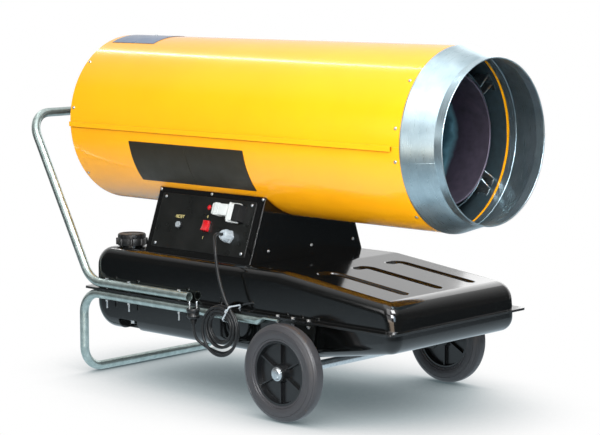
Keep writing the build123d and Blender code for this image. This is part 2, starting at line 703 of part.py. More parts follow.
with BuildPart() as pedestal_housing:
    with BuildSketch(upright_plane(PEDESTAL_Y + SHEET)):
        pedestal_profile(0, DECK_Z)
    extrude(amount=PEDESTAL_LENGTH - SHEET)
    with BuildSketch(upright_plane(PEDESTAL_Y)):
        pedestal_profile(SHEET, DECK_Z + SHEET)
    extrude(amount=PEDESTAL_LENGTH - SHEET, mode=Mode.SUBTRACT)
    with BuildSketch(wall_face):
        RectangleRounded(PANEL_LENGTH - 60, PANEL_HEIGHT - 40, 8)
    extrude(amount=4 * SHEET, both=True, mode=Mode.SUBTRACT)
    with BuildSketch(Plane.XY.offset(DECK_Z)):
        with Locations((-HOSE_X, HOSE_Y)):
            Circle(HOSE_R + TOUCH)
    extrude(amount=SHEET, mode=Mode.SUBTRACT)
    with BuildSketch(*side_screw_places, *panel_screw_places):
        Circle(SCREW_R + HOLE)
    extrude(amount=SCREW_LENGTH, both=True, mode=Mode.SUBTRACT)
    with BuildSketch(barrel_plane(PEDESTAL_Y)):
        Circle(BARREL_R + TOUCH)
    extrude(amount=PEDESTAL_LENGTH, mode=Mode.SUBTRACT)
finish(pedestal_housing, "pedestal_housing")

# front cover with a hem inside the housing
with BuildPart() as pedestal_cover:
    with BuildSketch(upright_plane(PEDESTAL_Y)):
        pedestal_profile(0, DECK_Z)
    extrude(amount=SHEET)
    with BuildSketch(upright_plane(PEDESTAL_Y + SHEET)):
        pedestal_profile(SHEET + TOUCH, DECK_Z + SHEET + TOUCH)
    extrude(amount=PEDESTAL_HEM)
    with BuildSketch(upright_plane(PEDESTAL_Y + SHEET)):
        pedestal_profile(2 * SHEET + TOUCH, DECK_Z + 2 * SHEET + TOUCH)
    extrude(amount=PEDESTAL_HEM, mode=Mode.SUBTRACT)
    with BuildSketch(*front_screw_places, *side_screw_places):
        Circle(SCREW_R + HOLE)
    extrude(amount=SCREW_LENGTH, both=True, mode=Mode.SUBTRACT)
    with BuildSketch(barrel_plane(PEDESTAL_Y)):
        Circle(BARREL_R + TOUCH)
    extrude(amount=PEDESTAL_LENGTH, mode=Mode.SUBTRACT)
finish(pedestal_cover, "pedestal_cover")

with BuildPart() as control_panel:
    with BuildSketch(wall_face):
        RectangleRounded(PANEL_LENGTH, PANEL_HEIGHT, PANEL_CORNER_R)
        with GridLocations(PANEL_SCREW_PITCH_X, PANEL_SCREW_PITCH_Y, 2, 2):
            Circle(SCREW_R + HOLE, mode=Mode.SUBTRACT)
        with Locations(RESET_AT):
            Circle(RESET_R + SHEET + TOUCH, mode=Mode.SUBTRACT)
        with Locations(ROCKER_AT):
            Rectangle(ROCKER_W + 2 * SHEET + TOUCH, ROCKER_H + 2 * SHEET + TOUCH, mode=Mode.SUBTRACT)
        with Locations(LAMP_AT):
            Circle(LAMP_R + TOUCH, mode=Mode.SUBTRACT)
        with Locations(GLAND_AT):
            Circle(GLAND_R + TOUCH, mode=Mode.SUBTRACT)
    extrude(amount=PANEL_SHEET)
finish(control_panel, "control_panel")

# ================================================================ controls on the panel
# press-to-reset button in a sleeve that is closed behind it
RESET_RIM = 4.0
RESET_PROUD = 4.0
RESET_INSIDE = 7.0
with BuildPart() as reset_sleeve:
    with BuildSketch(panel_face):
        with Locations(RESET_AT):
            Circle(RESET_R + 3.5)
    extrude(amount=RESET_RIM)
    with BuildSketch(panel_face):
        with Locations(RESET_AT):
            Circle(RESET_R + SHEET)
    extrude(amount=-(PANEL_SHEET + 12))
    with BuildSketch(panel_face.offset(RESET_RIM)):
        with Locations(RESET_AT):
            Circle(RESET_R + RUN)
    extrude(amount=-(RESET_RIM + RESET_INSIDE + 4), mode=Mode.SUBTRACT)
finish(reset_sleeve, "reset_sleeve")

with BuildPart() as reset_button:
    with BuildSketch(panel_face.offset(RESET_RIM + RESET_PROUD)):
        with Locations(RESET_AT):
            Circle(RESET_R)
    extrude(amount=-(RESET_PROUD + RESET_RIM + RESET_INSIDE))
    fillet(reset_button.edges().sort_by(Axis(wall_face.origin, out_of_panel))[-1:], radius=1)
finish(reset_button, "reset_button")

# rocker switch: sleeve with a rim, and the rocker on its pivot
ROCKER_TILT = 9.0
PIVOT_DEPTH = 3.0
ROCKER_GAP = 0.3
ROCKER_PROUD = 10.0
with BuildPart() as rocker_frame:
    with BuildSketch(panel_face):
        with Locations(ROCKER_AT):
            RectangleRounded(ROCKER_W + 6, ROCKER_H + 6, 2)
    extrude(amount=1.6)
    with BuildSketch(panel_face):
        with Locations(ROCKER_AT):
            Rectangle(ROCKER_W + 2 * SHEET, ROCKER_H + 2 * SHEET)
    extrude(amount=-(PANEL_SHEET + 18))
    with BuildSketch(panel_face.offset(2)):
        with Locations(ROCKER_AT):
            Rectangle(ROCKER_W, ROCKER_H)
    extrude(amount=-(PANEL_SHEET + 17), mode=Mode.SUBTRACT)
finish(rocker_frame, "rocker_frame")

rocker_pivot = panel_face.offset(-PIVOT_DEPTH).from_local_coords((*ROCKER_AT, 0))
# profile plane across the rocker: local x up the panel, local y out of it, normal along the pivot
up_panel = wall_face.y_dir
tilted_up = up_panel * cos(radians(ROCKER_TILT)) - out_of_panel * sin(radians(ROCKER_TILT))
rocker_side = Plane(origin=rocker_pivot, x_dir=tilted_up, z_dir=(0, -1, 0))
rocker_reach = ROCKER_H / 2 - 1
rocker_top = PIVOT_DEPTH + ROCKER_PROUD
with BuildPart() as rocker_button:
    with BuildSketch(rocker_side):
        with BuildLine():
            Polyline(
                (-rocker_reach, -3),
                (rocker_reach, -3),
                (rocker_reach, rocker_top),
                (0, rocker_top - 2),
                (-rocker_reach, rocker_top),
                close=True,
            )
        make_face()
    extrude(amount=ROCKER_W / 2 - ROCKER_GAP, both=True)
finish(rocker_button, "rocker_button")

with BuildPart() as indicator_lamp:
    with BuildSketch(wall_face.offset(-16)):
        with Locations(LAMP_AT):
            Circle(LAMP_R)
    extrude(amount=16 + PANEL_SHEET + 4)
    fillet(indicator_lamp.edges().sort_by(Axis(wall_face.origin, out_of_panel))[-1:], radius=2)
    with BuildSketch(panel_face):
        with Locations(LAMP_AT):
            Circle(LAMP_R + 1.6)
    extrude(amount=1.2)
finish(indicator_lamp, "indicator_lamp")

# room-thermostat connection: fixed socket and the link plug that stays in it
SOCKET_W = 22.0
SOCKET_H = 46.0
SOCKET_DEPTH = 26.0
LINK_LENGTH = 82.0
LINK_HEAD = 24.0         # the plug's taller end beside the socket
LINK_BODY_H = 32.0
LINK_BODY_LIFT = 5.0
LINK_DEPTH = 24.0
LINK_PIN_R = 2.0
LINK_PIN = 12.0
LINK_GAP = 0.4
LEVER = 14.0
LEVER_T = 3.0
mouth_x = SOCKET_AT[0] - SOCKET_W / 2
mouth = Plane(
    origin=panel_face.offset(SOCKET_DEPTH / 2).from_local_coords((mouth_x, SOCKET_AT[1], 0)),
    x_dir=up_panel,
    z_dir=(0, 1, 0),
)
with BuildPart() as thermostat_socket:
    with BuildSketch(panel_face):
        with Locations(SOCKET_AT):
            RectangleRounded(SOCKET_W, SOCKET_H, 2)
    extrude(amount=SOCKET_DEPTH)
    with BuildSketch(mouth):
        with GridLocations(14, 1, 3, 1):
            Circle(LINK_PIN_R + LINK_GAP)
    extrude(amount=-(LINK_PIN + 2), mode=Mode.SUBTRACT)
finish(thermostat_socket, "thermostat_socket")

with BuildPart() as thermostat_plug:
    with BuildSketch(mouth.offset(LINK_GAP)):
        RectangleRounded(SOCKET_H, LINK_DEPTH, 5)
    extrude(amount=LINK_HEAD)
    with BuildSketch(mouth.offset(LINK_GAP)):
        with Locations((LINK_BODY_LIFT, 0)):
            RectangleRounded(LINK_BODY_H, LINK_DEPTH - 2, 5)
    extrude(amount=LINK_LENGTH)
    fillet(thermostat_plug.faces().sort_by(Axis.Y)[-1].edges(), radius=3)
    with BuildSketch(mouth.offset(LINK_GAP)):
        with GridLocations(14, 1, 3, 1):
            Circle(LINK_PIN_R)
    extrude(amount=-LINK_PIN)
    with BuildSketch(mouth.offset(LINK_GAP + LEVER + 4)):
        for side in (-1, 1):
            with Locations((side * (SOCKET_H / 2 + LINK_GAP + LEVER_T / 2), 0)):
                Rectangle(LEVER_T, 10)
    extrude(amount=-(2 * LEVER + 4))
    with BuildSketch(mouth.offset(LINK_GAP + LEVER + 4)):
        with Locations((0, 0)):
            Rectangle(SOCKET_H + 2 * (LINK_GAP + LEVER_T), 10)
    extrude(amount=-4)
finish(thermostat_plug, "thermostat_plug")

# cord gland: nut behind the panel, six-sided foot, domed clamping cap
GLAND_LENGTH = 29.0
GLAND_FOOT = 7.0
GLAND_FOOT_R = 19.5
GLAND_CAP_R = 17.0
gland_middle = panel_face.from_local_coords((*GLAND_AT, 0))
gland_base = Plane(origin=gland_middle, x_dir=(0, -1, 0), z_dir=out_of_panel)
with BuildPart() as cable_gland:
    with BuildSketch(gland_base.offset(-(PANEL_SHEET + 10))):
        Circle(GLAND_R)
    extrude(amount=PANEL_SHEET + 12)
    with BuildSketch(gland_base.offset(-(PANEL_SHEET + 5))):
        RegularPolygon(GLAND_R + 4, 6)
    extrude(amount=5)
    with BuildSketch(gland_base):
        RegularPolygon(GLAND_FOOT_R, 6)
    extrude(amount=GLAND_FOOT)
    with BuildSketch(gland_base.offset(GLAND_FOOT)):
        Circle(GLAND_CAP_R)
    extrude(amount=GLAND_LENGTH - GLAND_FOOT, taper=10)
    fillet(cable_gland.edges().sort_by(Axis(gland_middle, out_of_panel))[-1:], radius=4)
    with BuildSketch(gland_base.offset(-(PANEL_SHEET + 10))):
        Circle(CORD_R)
    extrude(amount=GLAND_LENGTH + PANEL_SHEET + 10, mode=Mode.SUBTRACT)
finish(cable_gland, "cable_gland")

# ================================================================ parts inside the pedestal
floor_z = DECK_Z + SHEET
with BuildPart() as ignition_transformer:
    with BuildSketch(Plane.XY.offset(floor_z)):
        with Locations((95, PEDESTAL_Y + 85)):
            Rectangle(80, 96)
    extrude(amount=4)
    with BuildSketch(Plane.XY.offset(floor_z + 4)):
        with Locations((95, PEDESTAL_Y + 85)):
            RectangleRounded(72, 70, 5)
    extrude(amount=60)
finish(ignition_transformer, "ignition_transformer")

CONTROLLER_W = 96.0
CONTROLLER_L = 110.0
with BuildPart() as flame_controller:
    with BuildSketch(Plane.XY.offset(floor_z)):
        with Locations((-55, PEDESTAL_Y + 90)):
            RectangleRounded(CONTROLLER_W, CONTROLLER_L, 3)
    extrude(amount=16)
    with BuildSketch(Plane.XY.offset(floor_z + 16)):
        with Locations((-55, PEDESTAL_Y + 90)):
            RectangleRounded(CONTROLLER_W - 8, CONTROLLER_L - 10, 5)
    extrude(amount=42)
finish(flame_controller, "flame_controller")

FILTER_BASE_Z = floor_z + 24
FILTER_HEIGHT = 64.0
with BuildPart() as fuel_filter:
    with BuildSketch(Plane.XY.offset(FILTER_BASE_Z)):
        with Locations((-HOSE_X, HOSE_Y)):
            Circle(10)
    extrude(amount=6)
    with BuildSketch(Plane.XY.offset(FILTER_BASE_Z + 6)):
        with Locations((-HOSE_X, HOSE_Y)):
            Circle(20)
    extrude(amount=FILTER_HEIGHT - 20)
    with BuildSketch(Plane.XY.offset(FILTER_BASE_Z + FILTER_HEIGHT - 14)):
        with Locations((-HOSE_X, HOSE_Y)):
            Circle(24)
    extrude(amount=14)
finish(fuel_filter, "fuel_filter")

# suction hose in two runs: out of the tank into the filter, and from the filter to the pump
pump_port_z = AXIS_Z - (PUMP_R + 8) / 2
with BuildPart() as suction_hose:
    with BuildSketch(Plane.XY.offset(BOTTOM_Z + 14)):
        with Locations((-HOSE_X, HOSE_Y)):
            Circle(HOSE_R)
    extrude(amount=FILTER_BASE_Z - BOTTOM_Z - 14)
    with BuildSketch(Plane.XY.offset(FILTER_BASE_Z + FILTER_HEIGHT)):
        with Locations((-HOSE_X, HOSE_Y)):
            Circle(HOSE_R)
    extrude(amount=pump_port_z - FILTER_BASE_Z - FILTER_HEIGHT)
finish(suction_hose, "suction_hose")

# high-pressure pipe from the pump's underside to the nozzle holder
pipe_top_z = AXIS_Z - PUMP_R - 5
pipe_z = pipe_top_z - 24
pipe_y = holder_plate_y + 9
pipe_back_y = pump_y + PUMP_LENGTH / 2
with BuildPart() as nozzle_pipe:
    with BuildLine() as pipe_line:
        FilletPolyline(
            (0, pipe_back_y, pipe_top_z),
            (0, pipe_back_y, pipe_z),
            (0, pipe_y, pipe_z),
            (0, pipe_y, AXIS_Z - NOZZLE_R),
            radius=12,
        )
    with BuildSketch(Plane(origin=pipe_line.line @ 0, z_dir=pipe_line.line % 0)):
        Circle(3)
    sweep()
finish(nozzle_pipe, "nozzle_pipe")

# ================================================================ fuel tank
ramp_slope = RAMP_DROP / (TANK_FRONT - NOSE_LEAN + DECK_FRONT)


def tank_half(upper, inset):
    """One half of the tank's body, shrunk by the inset and left running through the flange."""
    base = FLANGE_Z - inset if upper else FLANGE_Z + inset
    front = AXLE_Y - TANK_FRONT
    rear = AXLE_Y + TANK_REAR
    if upper:
        outline = [
            (front, base),
            (front + NOSE_LEAN, DECK_Z - RAMP_DROP),
            (AXLE_Y + DECK_FRONT, DECK_Z),
            (rear, DECK_Z),
            (rear, base),
        ]
        radii = [NOSE_R, 2 * NOSE_R, REAR_TOP_R]
    else:
        outline = [
            (front, base),
            (front, BOTTOM_Z + BELLY_RISE),
            (AXLE_Y + BOTTOM_FRONT, BOTTOM_Z),
            (rear, BOTTOM_Z),
            (rear, base),
        ]
        radii = [NOSE_R * 0.8, 2 * NOSE_R, REAR_BOTTOM_R]
    with BuildPart() as half:
        with BuildSketch(Plane.YZ) as side:
            with BuildLine():
                edge = FilletPolyline(*outline, radius=radii)
                Line(edge @ 1, edge @ 0)
            make_face()
            if inset:
                offset(amount=-inset)
        extrude(amount=TANK_WIDTH / 2 - inset, both=True)
        rims = half.faces().sort_by(Axis.X)
        flat = [e for f in (rims[0], rims[-1]) for e in f.edges() if abs(e.center().Z - FLANGE_Z) > 1]
        fillet(flat, radius=SHOULDER_R - inset)
    return half.part


ramp_plane = Plane(
    origin=(0, AXLE_Y + DECK_FRONT, DECK_Z),
    x_dir=(1, 0, 0),
    z_dir=(0, -sin(atan2(ramp_slope, 1)), cos(atan2(ramp_slope, 1))),
)


def pressed_grooves(extra):
    """Grooves along the ramp that bend aside at the rear, widened and deepened by the wall."""
    width = GROOVE_WIDTH + 2 * extra
    with BuildPart() as grooves:
        for x in GROOVE_PLACES:
            with BuildSketch(ramp_plane):
                with Locations((x, -GROOVE_REAR - GROOVE_LENGTH / 2)):
                    SlotCenterToCenter(GROOVE_LENGTH, width, rotation=90)
                with BuildLine() as bend:
                    CenterArc((x - GROOVE_BEND_R, -GROOVE_REAR), GROOVE_BEND_R, 0, 90)
                SlotArc(bend.edge(), width)
                tail_x = x - GROOVE_BEND_R - GROOVE_TAIL / 2
                with Locations((tail_x, GROOVE_BEND_R - GROOVE_REAR)):
                    SlotCenterToCenter(GROOVE_TAIL, width)
            extrude(amount=-(GROOVE_DEPTH + extra), taper=GROOVE_WALL)
    return grooves.part


def groove_rims(edges):
    """The edges that lie in the ramp's surface, inside its border."""
    rims = []
    for edge in edges:
        place = ramp_plane.to_local_coords(edge.center())
        inside = abs(place.X) < TANK_WIDTH / 2 - SHOULDER_R - 1
        inside = inside and -TANK_FRONT - DECK_FRONT + NOSE_R < place.Y < -GROOVE_BEND_R
        if inside and abs(place.Z) < 0.01:
            rims.append(edge)
    return rims


def flange(below, thickness):
    """Flat lip round the tank's seam, open over the tank's inside, with its bolt holes."""
    with BuildPart() as lip:
        with BuildSketch(Plane.XY.offset(below)):
            with Locations((0, AXLE_Y + (FLANGE_REAR - FLANGE_FRONT) / 2)):
                RectangleRounded(FLANGE_WIDTH, FLANGE_REAR + FLANGE_FRONT, FLANGE_CORNER_R)
            with Locations(*[(x, y) for x, y in FLANGE_BOLTS]):
                Circle(BOLT_R + HOLE, mode=Mode.SUBTRACT)
            with Locations((TIE_SLOT_X, TIE_SLOT_Y)):
                SlotOverall(16, 4, rotation=90, mode=Mode.SUBTRACT)
        extrude(amount=thickness)
    return lip.part


BRACKET_BOLT_BACK = (-27.0, 27.0, 80.0)
BRACKET_BOLT_X = BRACKET_X + 6.5
FRAME_BOLTS = [(x, AXLE_Y + back) for x in (-TUBE_X, TUBE_X) for back in BOLT_BACK]
SHORT_BOLTS = [
    (x, AXLE_Y + back) for x in (-BRACKET_BOLT_X, BRACKET_BOLT_X) for back in BRACKET_BOLT_BACK
]
FLANGE_BOLTS = FRAME_BOLTS + SHORT_BOLTS

# the tie's place on the coil, needed for its slot in the flange
TIE_ANGLE = 56.0
coil_y = AXLE_Y + COIL_BACK
tie_rise = FLANGE_Z - COIL_Z
TIE_SLOT_X = -TUBE_X + TUBE_R + 0.9
TIE_SLOT_Y = coil_y - tie_rise / tan(radians(TIE_ANGLE))

with BuildPart() as tank_upper:
    add(tank_half(True, 0) - pressed_grooves(0))
    fillet(groove_rims(tank_upper.edges()), radius=GROOVE_EDGE_R)
    add(flange(FLANGE_Z, FLANGE_T))
    add(tank_half(True, TANK_WALL) - pressed_grooves(TANK_WALL), mode=Mode.SUBTRACT)
    with BuildSketch(Plane.XY.offset(DECK_Z - NOSE_R)):
        with Locations((FILLER_X, FILLER_Y)):
            Circle(NECK_R + TOUCH)
        with Locations((-HOSE_X, HOSE_Y)):
            Circle(HOSE_R + TOUCH)
    extrude(amount=2 * NOSE_R, mode=Mode.SUBTRACT)
finish(tank_upper, "tank_upper")

# drain recess in the panel side's lower edge, with its plug hanging from the recess roof
RECESS_LENGTH = 75.0
RECESS_WIDTH = 44.0
RECESS_HEIGHT = 30.0
RECESS_BACK = 668.0
recess_mid = (-TANK_WIDTH / 2 + RECESS_WIDTH / 2, AXLE_Y + RECESS_BACK)
with BuildPart() as recess_walls:
    with BuildSketch(Plane.XY.offset(BOTTOM_Z)):
        with Locations(recess_mid):
            Rectangle(RECESS_WIDTH + 2 * TANK_WALL, RECESS_LENGTH + 2 * TANK_WALL)
    extrude(amount=RECESS_HEIGHT + TANK_WALL)
    add(tank_half(False, 0), mode=Mode.INTERSECT)

with BuildPart() as tank_lower:
    add(tank_half(False, 0))
    add(flange(FLANGE_Z - FLANGE_T, FLANGE_T))
    add(tank_half(False, TANK_WALL), mode=Mode.SUBTRACT)
    add(recess_walls.part)
    with BuildSketch(Plane.XY.offset(BOTTOM_Z)):
        with Locations((recess_mid[0] - TANK_WALL, recess_mid[1])):
            Rectangle(RECESS_WIDTH + 2 * TANK_WALL, RECESS_LENGTH)
    extrude(amount=RECESS_HEIGHT, mode=Mode.SUBTRACT)
finish(tank_lower, "tank_lower")

with BuildPart() as drain_plug:
    with BuildSketch(Plane.XY.offset(BOTTOM_Z + RECESS_HEIGHT)):
        with Locations(recess_mid):
            Circle(11)
    extrude(amount=-4)
    with BuildSketch(Plane.XY.offset(BOTTOM_Z + RECESS_HEIGHT - 4)):
        with Locations(recess_mid):
            RegularPolygon(9, 6)
    extrude(amount=-8)
finish(drain_plug, "drain_plug")

with BuildPart() as filler_neck:
    with BuildSketch(Plane.XY.offset(DECK_Z)):
        with Locations((FILLER_X, FILLER_Y)):
            Circle(NECK_R + 3)
    extrude(amount=1.5)
    with BuildSketch(Plane.XY.offset(DECK_Z - TANK_WALL - 6)):
        with Locations((FILLER_X, FILLER_Y)):
            Circle(NECK_R)
    extrude(amount=TANK_WALL + 6 + NECK_HEIGHT)
    with BuildSketch(Plane.XY.offset(DECK_Z - TANK_WALL - 6)):
        with Locations((FILLER_X, FILLER_Y)):
            Circle(NECK_BORE_R)
    extrude(amount=TANK_WALL + 6 + NECK_HEIGHT, mode=Mode.SUBTRACT)
finish(filler_neck, "filler_neck")

CAP_GRIPS = 8
cap_z = DECK_Z + CAP_LIFT
with BuildPart() as fuel_cap:
    with BuildSketch(Plane.XY.offset(cap_z)):
        with Locations((FILLER_X, FILLER_Y)):
            Circle(CAP_R)
            with PolarLocations(CAP_R, CAP_GRIPS):
                Circle(CAP_GRIP_R)
    extrude(amount=CAP_HEIGHT * 0.62)
    with BuildSketch(Plane.XY.offset(cap_z)):
        with Locations((FILLER_X, FILLER_Y)):
            Circle(CAP_TOP_R)
    extrude(amount=CAP_HEIGHT)
    fillet(fuel_cap.faces().sort_by(Axis.Z)[-1].edges(), radius=3)
    with BuildSketch(Plane.XY.offset(cap_z)):
        with Locations((FILLER_X, FILLER_Y)):
            Circle(NECK_R + RUN)
    extrude(amount=NECK_HEIGHT - CAP_LIFT, mode=Mode.SUBTRACT)
finish(fuel_cap, "fuel_cap")

# ================================================================ tube frame
def bent_tube(points, radii):
    """Round tube along a line of straight runs joined by bends."""
    with BuildPart() as tube:
        with BuildLine() as line:
            FilletPolyline(*points, radius=radii)
        with BuildSketch(Plane(origin=line.line @ 0, z_dir=line.line % 0)):
            Circle(TUBE_R)
            Circle(TUBE_R - TUBE_WALL, mode=Mode.SUBTRACT)
        sweep()
    return tube.part


handle_side = [
    (-TUBE_X, AXLE_Y + HANDLE_FRONT, handle_tube_z),
    (-TUBE_X, AXLE_Y + HANDLE_CORNER, handle_tube_z),
    (-TUBE_X, AXLE_Y + HANDLE_CORNER + handle_run, HANDLE_TOP_Z),
]
handle_radii = [HANDLE_BEND_R, HANDLE_TOP_BEND_R, HANDLE_TOP_BEND_R, HANDLE_BEND_R]
with BuildPart() as handle_frame:
    add(bent_tube(handle_side + mirrored_x(handle_side), handle_radii))
    with BuildSketch(Plane.XY.offset(FLANGE_Z)):
        with Locations(*FRAME_BOLTS):
            Circle(BOLT_R + HOLE)
    extrude(amount=4 * TUBE_R, mode=Mode.SUBTRACT)
finish(handle_frame, "handle_frame")

leg_side = [
    (-TUBE_X, AXLE_Y + LEG_FRONT, leg_tube_z),
    (-TUBE_X, AXLE_Y + LEG_REAR, leg_tube_z),
    (-TUBE_X, AXLE_Y + LEG_REAR, TUBE_R),
]
flat_z = FLANGE_Z - FLANGE_T - FLAT_T / 2
with BuildPart() as leg_frame:
    add(bent_tube(leg_side + mirrored_x(leg_side), LEG_BEND_R))
    for side in (-1, 1):
        round_middle = (side * TUBE_X, AXLE_Y + LEG_FRONT, leg_tube_z)
        flat_middle = (side * TUBE_X, AXLE_Y + LEG_FRONT - FLAT_TAPER, flat_z)
        round_end = Plane(origin=round_middle, x_dir=(1, 0, 0), z_dir=(0, -1, 0))
        flat_end = Plane(origin=flat_middle, x_dir=(1, 0, 0), z_dir=(0, -1, 0))
        with BuildSketch(round_end):
            Circle(TUBE_R)
        with BuildSketch(flat_end):
            SlotOverall(FLAT_WIDTH, FLAT_T)
        loft()
        with BuildSketch(flat_end):
            SlotOverall(FLAT_WIDTH, FLAT_T)
        extrude(amount=FLAT_LENGTH)
    with BuildSketch(Plane.XY.offset(FLANGE_Z)):
        with Locations(*FLANGE_BOLTS):
            Circle(BOLT_R + HOLE)
    extrude(amount=-4 * TUBE_R, mode=Mode.SUBTRACT)
finish(leg_frame, "leg_frame")

NUT_R = 5.5
NUT_H = 5.0
handle_top = handle_tube_z + TUBE_R
leg_bottom = leg_tube_z - TUBE_R
with BuildPart() as frame_bolts:
    with BuildSketch(Plane.XY.offset(handle_top)):
        with Locations(*FRAME_BOLTS):
            RegularPolygon(NUT_R, 6)
    extrude(amount=4)
    with BuildSketch(Plane.XY.offset(handle_top)):
        with Locations(*FRAME_BOLTS):
            Circle(BOLT_R)
    extrude(amount=-(handle_top - leg_bottom + BOLT_TAIL))
finish(frame_bolts, "frame_bolts")

flange_top = FLANGE_Z + FLANGE_T
short_grip_z = FLANGE_Z - FLANGE_T - BRACKET_T
with BuildPart() as bracket_bolts:
    with BuildSketch(Plane.XY.offset(flange_top)):
        with Locations(*SHORT_BOLTS):
            RegularPolygon(NUT_R, 6)
    extrude(amount=4)
    with BuildSketch(Plane.XY.offset(flange_top)):
        with Locations(*SHORT_BOLTS):
            Circle(BOLT_R)
    extrude(amount=-(flange_top - short_grip_z + NUT_H + 4))
finish(bracket_bolts, "bracket_bolts")

with BuildPart() as frame_nuts:
    with BuildSketch(Plane.XY.offset(leg_bottom)):
        with Locations(*FRAME_BOLTS):
            RegularPolygon(NUT_R, 6)
            Circle(BOLT_R, mode=Mode.SUBTRACT)
    extrude(amount=-NUT_H)
    with BuildSketch(Plane.XY.offset(short_grip_z)):
        with Locations(*SHORT_BOLTS):
            RegularPolygon(NUT_R, 6)
            Circle(BOLT_R, mode=Mode.SUBTRACT)
    extrude(amount=-NUT_H)
finish(frame_nuts, "frame_nuts")

# ================================================================ wheels and axle
wheel_x = TRACK / 2
bracket_top = FLANGE_Z - FLANGE_T
foot_reach = FLANGE_WIDTH / 2 - 1
with BuildPart() as axle_brackets:
    for side in (-1, 1):
        plate_middle = (side * (BRACKET_X - BRACKET_T), AXLE_Y, AXLE_Z)
        upright = Plane(origin=plate_middle, x_dir=(0, side, 0), z_dir=(side, 0, 0))
        with BuildSketch(upright):
            with BuildLine():
                Polyline(
                    (-BRACKET_SPREAD, bracket_top - AXLE_Z),
                    (BRACKET_SPREAD, bracket_top - AXLE_Z),
                    (AXLE_SHOULDER_R + 10, 0),
                    (AXLE_SHOULDER_R + 10, -AXLE_SHOULDER_R),
                    (AXLE_SHOULDER_R, -AXLE_SHOULDER_R - 8),
                    (-AXLE_SHOULDER_R, -AXLE_SHOULDER_R - 8),
                    (-AXLE_SHOULDER_R - 10, -AXLE_SHOULDER_R),
                    (-AXLE_SHOULDER_R - 10, 0),
                    close=True,
                )
            make_face()
            Circle(AXLE_SHOULDER_R, mode=Mode.SUBTRACT)
        extrude(amount=BRACKET_T)
    with BuildSketch(Plane.XY.offset(bracket_top)):
        with Locations((0, AXLE_Y)):
            Rectangle(2 * foot_reach, 2 * BRACKET_SPREAD)
            Rectangle(2 * (BRACKET_X - BRACKET_T), 2 * BRACKET_SPREAD, mode=Mode.SUBTRACT)
        with Locations(*SHORT_BOLTS):
            Circle(BOLT_R + HOLE, mode=Mode.SUBTRACT)
    extrude(amount=-BRACKET_T)
finish(axle_brackets, "axle_brackets")

journal_x = wheel_x - HUB_LENGTH / 2 - 0.5
axle_end_x = wheel_x + HUB_LENGTH / 2 + 4
across_axle = Plane(origin=(0, AXLE_Y, AXLE_Z), x_dir=(0, 1, 0), z_dir=(1, 0, 0))
with BuildPart() as axle:
    with BuildSketch(across_axle):
        Circle(AXLE_SHOULDER_R)
    extrude(amount=journal_x, both=True)
    with BuildSketch(across_axle):
        Circle(AXLE_R)
    extrude(amount=axle_end_x, both=True)
finish(axle, "axle")

CAP_DEPTH = 7.0
HUB_CAP_R = 18.0
with BuildPart() as hub_caps:
    for side in (-1, 1):
        seat = Plane(origin=(side * (wheel_x + HUB_LENGTH / 2 + 0.6), AXLE_Y, AXLE_Z), z_dir=(side, 0, 0))
        with BuildSketch(seat):
            Circle(HUB_CAP_R)
        extrude(amount=CAP_DEPTH)
        fillet(hub_caps.faces().sort_by(Axis.X)[-1 if side > 0 else 0].edges(), radius=3)
    with BuildSketch(across_axle):
        Circle(AXLE_R)
    extrude(amount=axle_end_x, both=True, mode=Mode.SUBTRACT)
finish(hub_caps, "hub_caps")

# section plane of the panel-side wheel: local x away from the panel side, local y up
wheel_section = Plane(origin=(-wheel_x, AXLE_Y, AXLE_Z), x_dir=(1, 0, 0), z_dir=(0, -1, 0))
wheel_axis = Axis((0, AXLE_Y, AXLE_Z), (1, 0, 0))
WEB_T = 5.0
RIM_SHELL = 5.0
with BuildPart() as left_rim:
    with BuildSketch(wheel_section):
        with BuildLine():
            Polyline(
                (-RIM_WIDTH / 2, RIM_R),
                (RIM_WIDTH / 2, RIM_R),
                (RIM_WIDTH / 2, RIM_R - RIM_SHELL),
                (WEB_T / 2, RIM_R - RIM_SHELL - 3),
                (WEB_T / 2, HUB_R + 4),
                (HUB_LENGTH / 2, HUB_R),
                (HUB_LENGTH / 2, AXLE_R + RUN),
                (-HUB_LENGTH / 2, AXLE_R + RUN),
                (-HUB_LENGTH / 2, HUB_R),
                (-WEB_T / 2, HUB_R + 4),
                (-WEB_T / 2, RIM_R - RIM_SHELL - 3),
                (-RIM_WIDTH / 2, RIM_R - RIM_SHELL),
                close=True,
            )
        make_face()
    revolve(axis=wheel_axis)
    with BuildSketch(Plane(origin=(-wheel_x, AXLE_Y, AXLE_Z), x_dir=(0, 1, 0), z_dir=(1, 0, 0))):
        with PolarLocations((HUB_R + RIM_R) / 2, WHEEL_RIBS, start_angle=90):
            Rectangle(RIM_R - HUB_R - 3, 4)
    extrude(amount=RIM_WIDTH / 2 - 5, both=True)
finish(left_rim, "left_rim")

with BuildPart() as left_tyre:
    with BuildSketch(wheel_section):
        with BuildLine():
            FilletPolyline(
                (-RIM_WIDTH / 2 - 1, RIM_R),
                (-TYRE_WIDTH / 2, RIM_R + 12),
                (-TYRE_WIDTH / 2, WHEEL_R - 14),
                (-TYRE_WIDTH / 2 + 12, WHEEL_R),
                (TYRE_WIDTH / 2 - 12, WHEEL_R),
                (TYRE_WIDTH / 2, WHEEL_R - 14),
                (TYRE_WIDTH / 2, RIM_R + 12),
                (RIM_WIDTH / 2 + 1, RIM_R),
                radius=[2, 6, 9, 9, 9, 9, 6, 2],
                close=True,
            )
        make_face()
    revolve(axis=wheel_axis)
finish(left_tyre, "left_tyre")

with BuildPart() as right_rim:
    mirror(left_rim.part, about=Plane.YZ)
finish(right_rim, "right_rim")

with BuildPart() as right_tyre:
    mirror(left_tyre.part, about=Plane.YZ)
finish(right_tyre, "right_tyre")

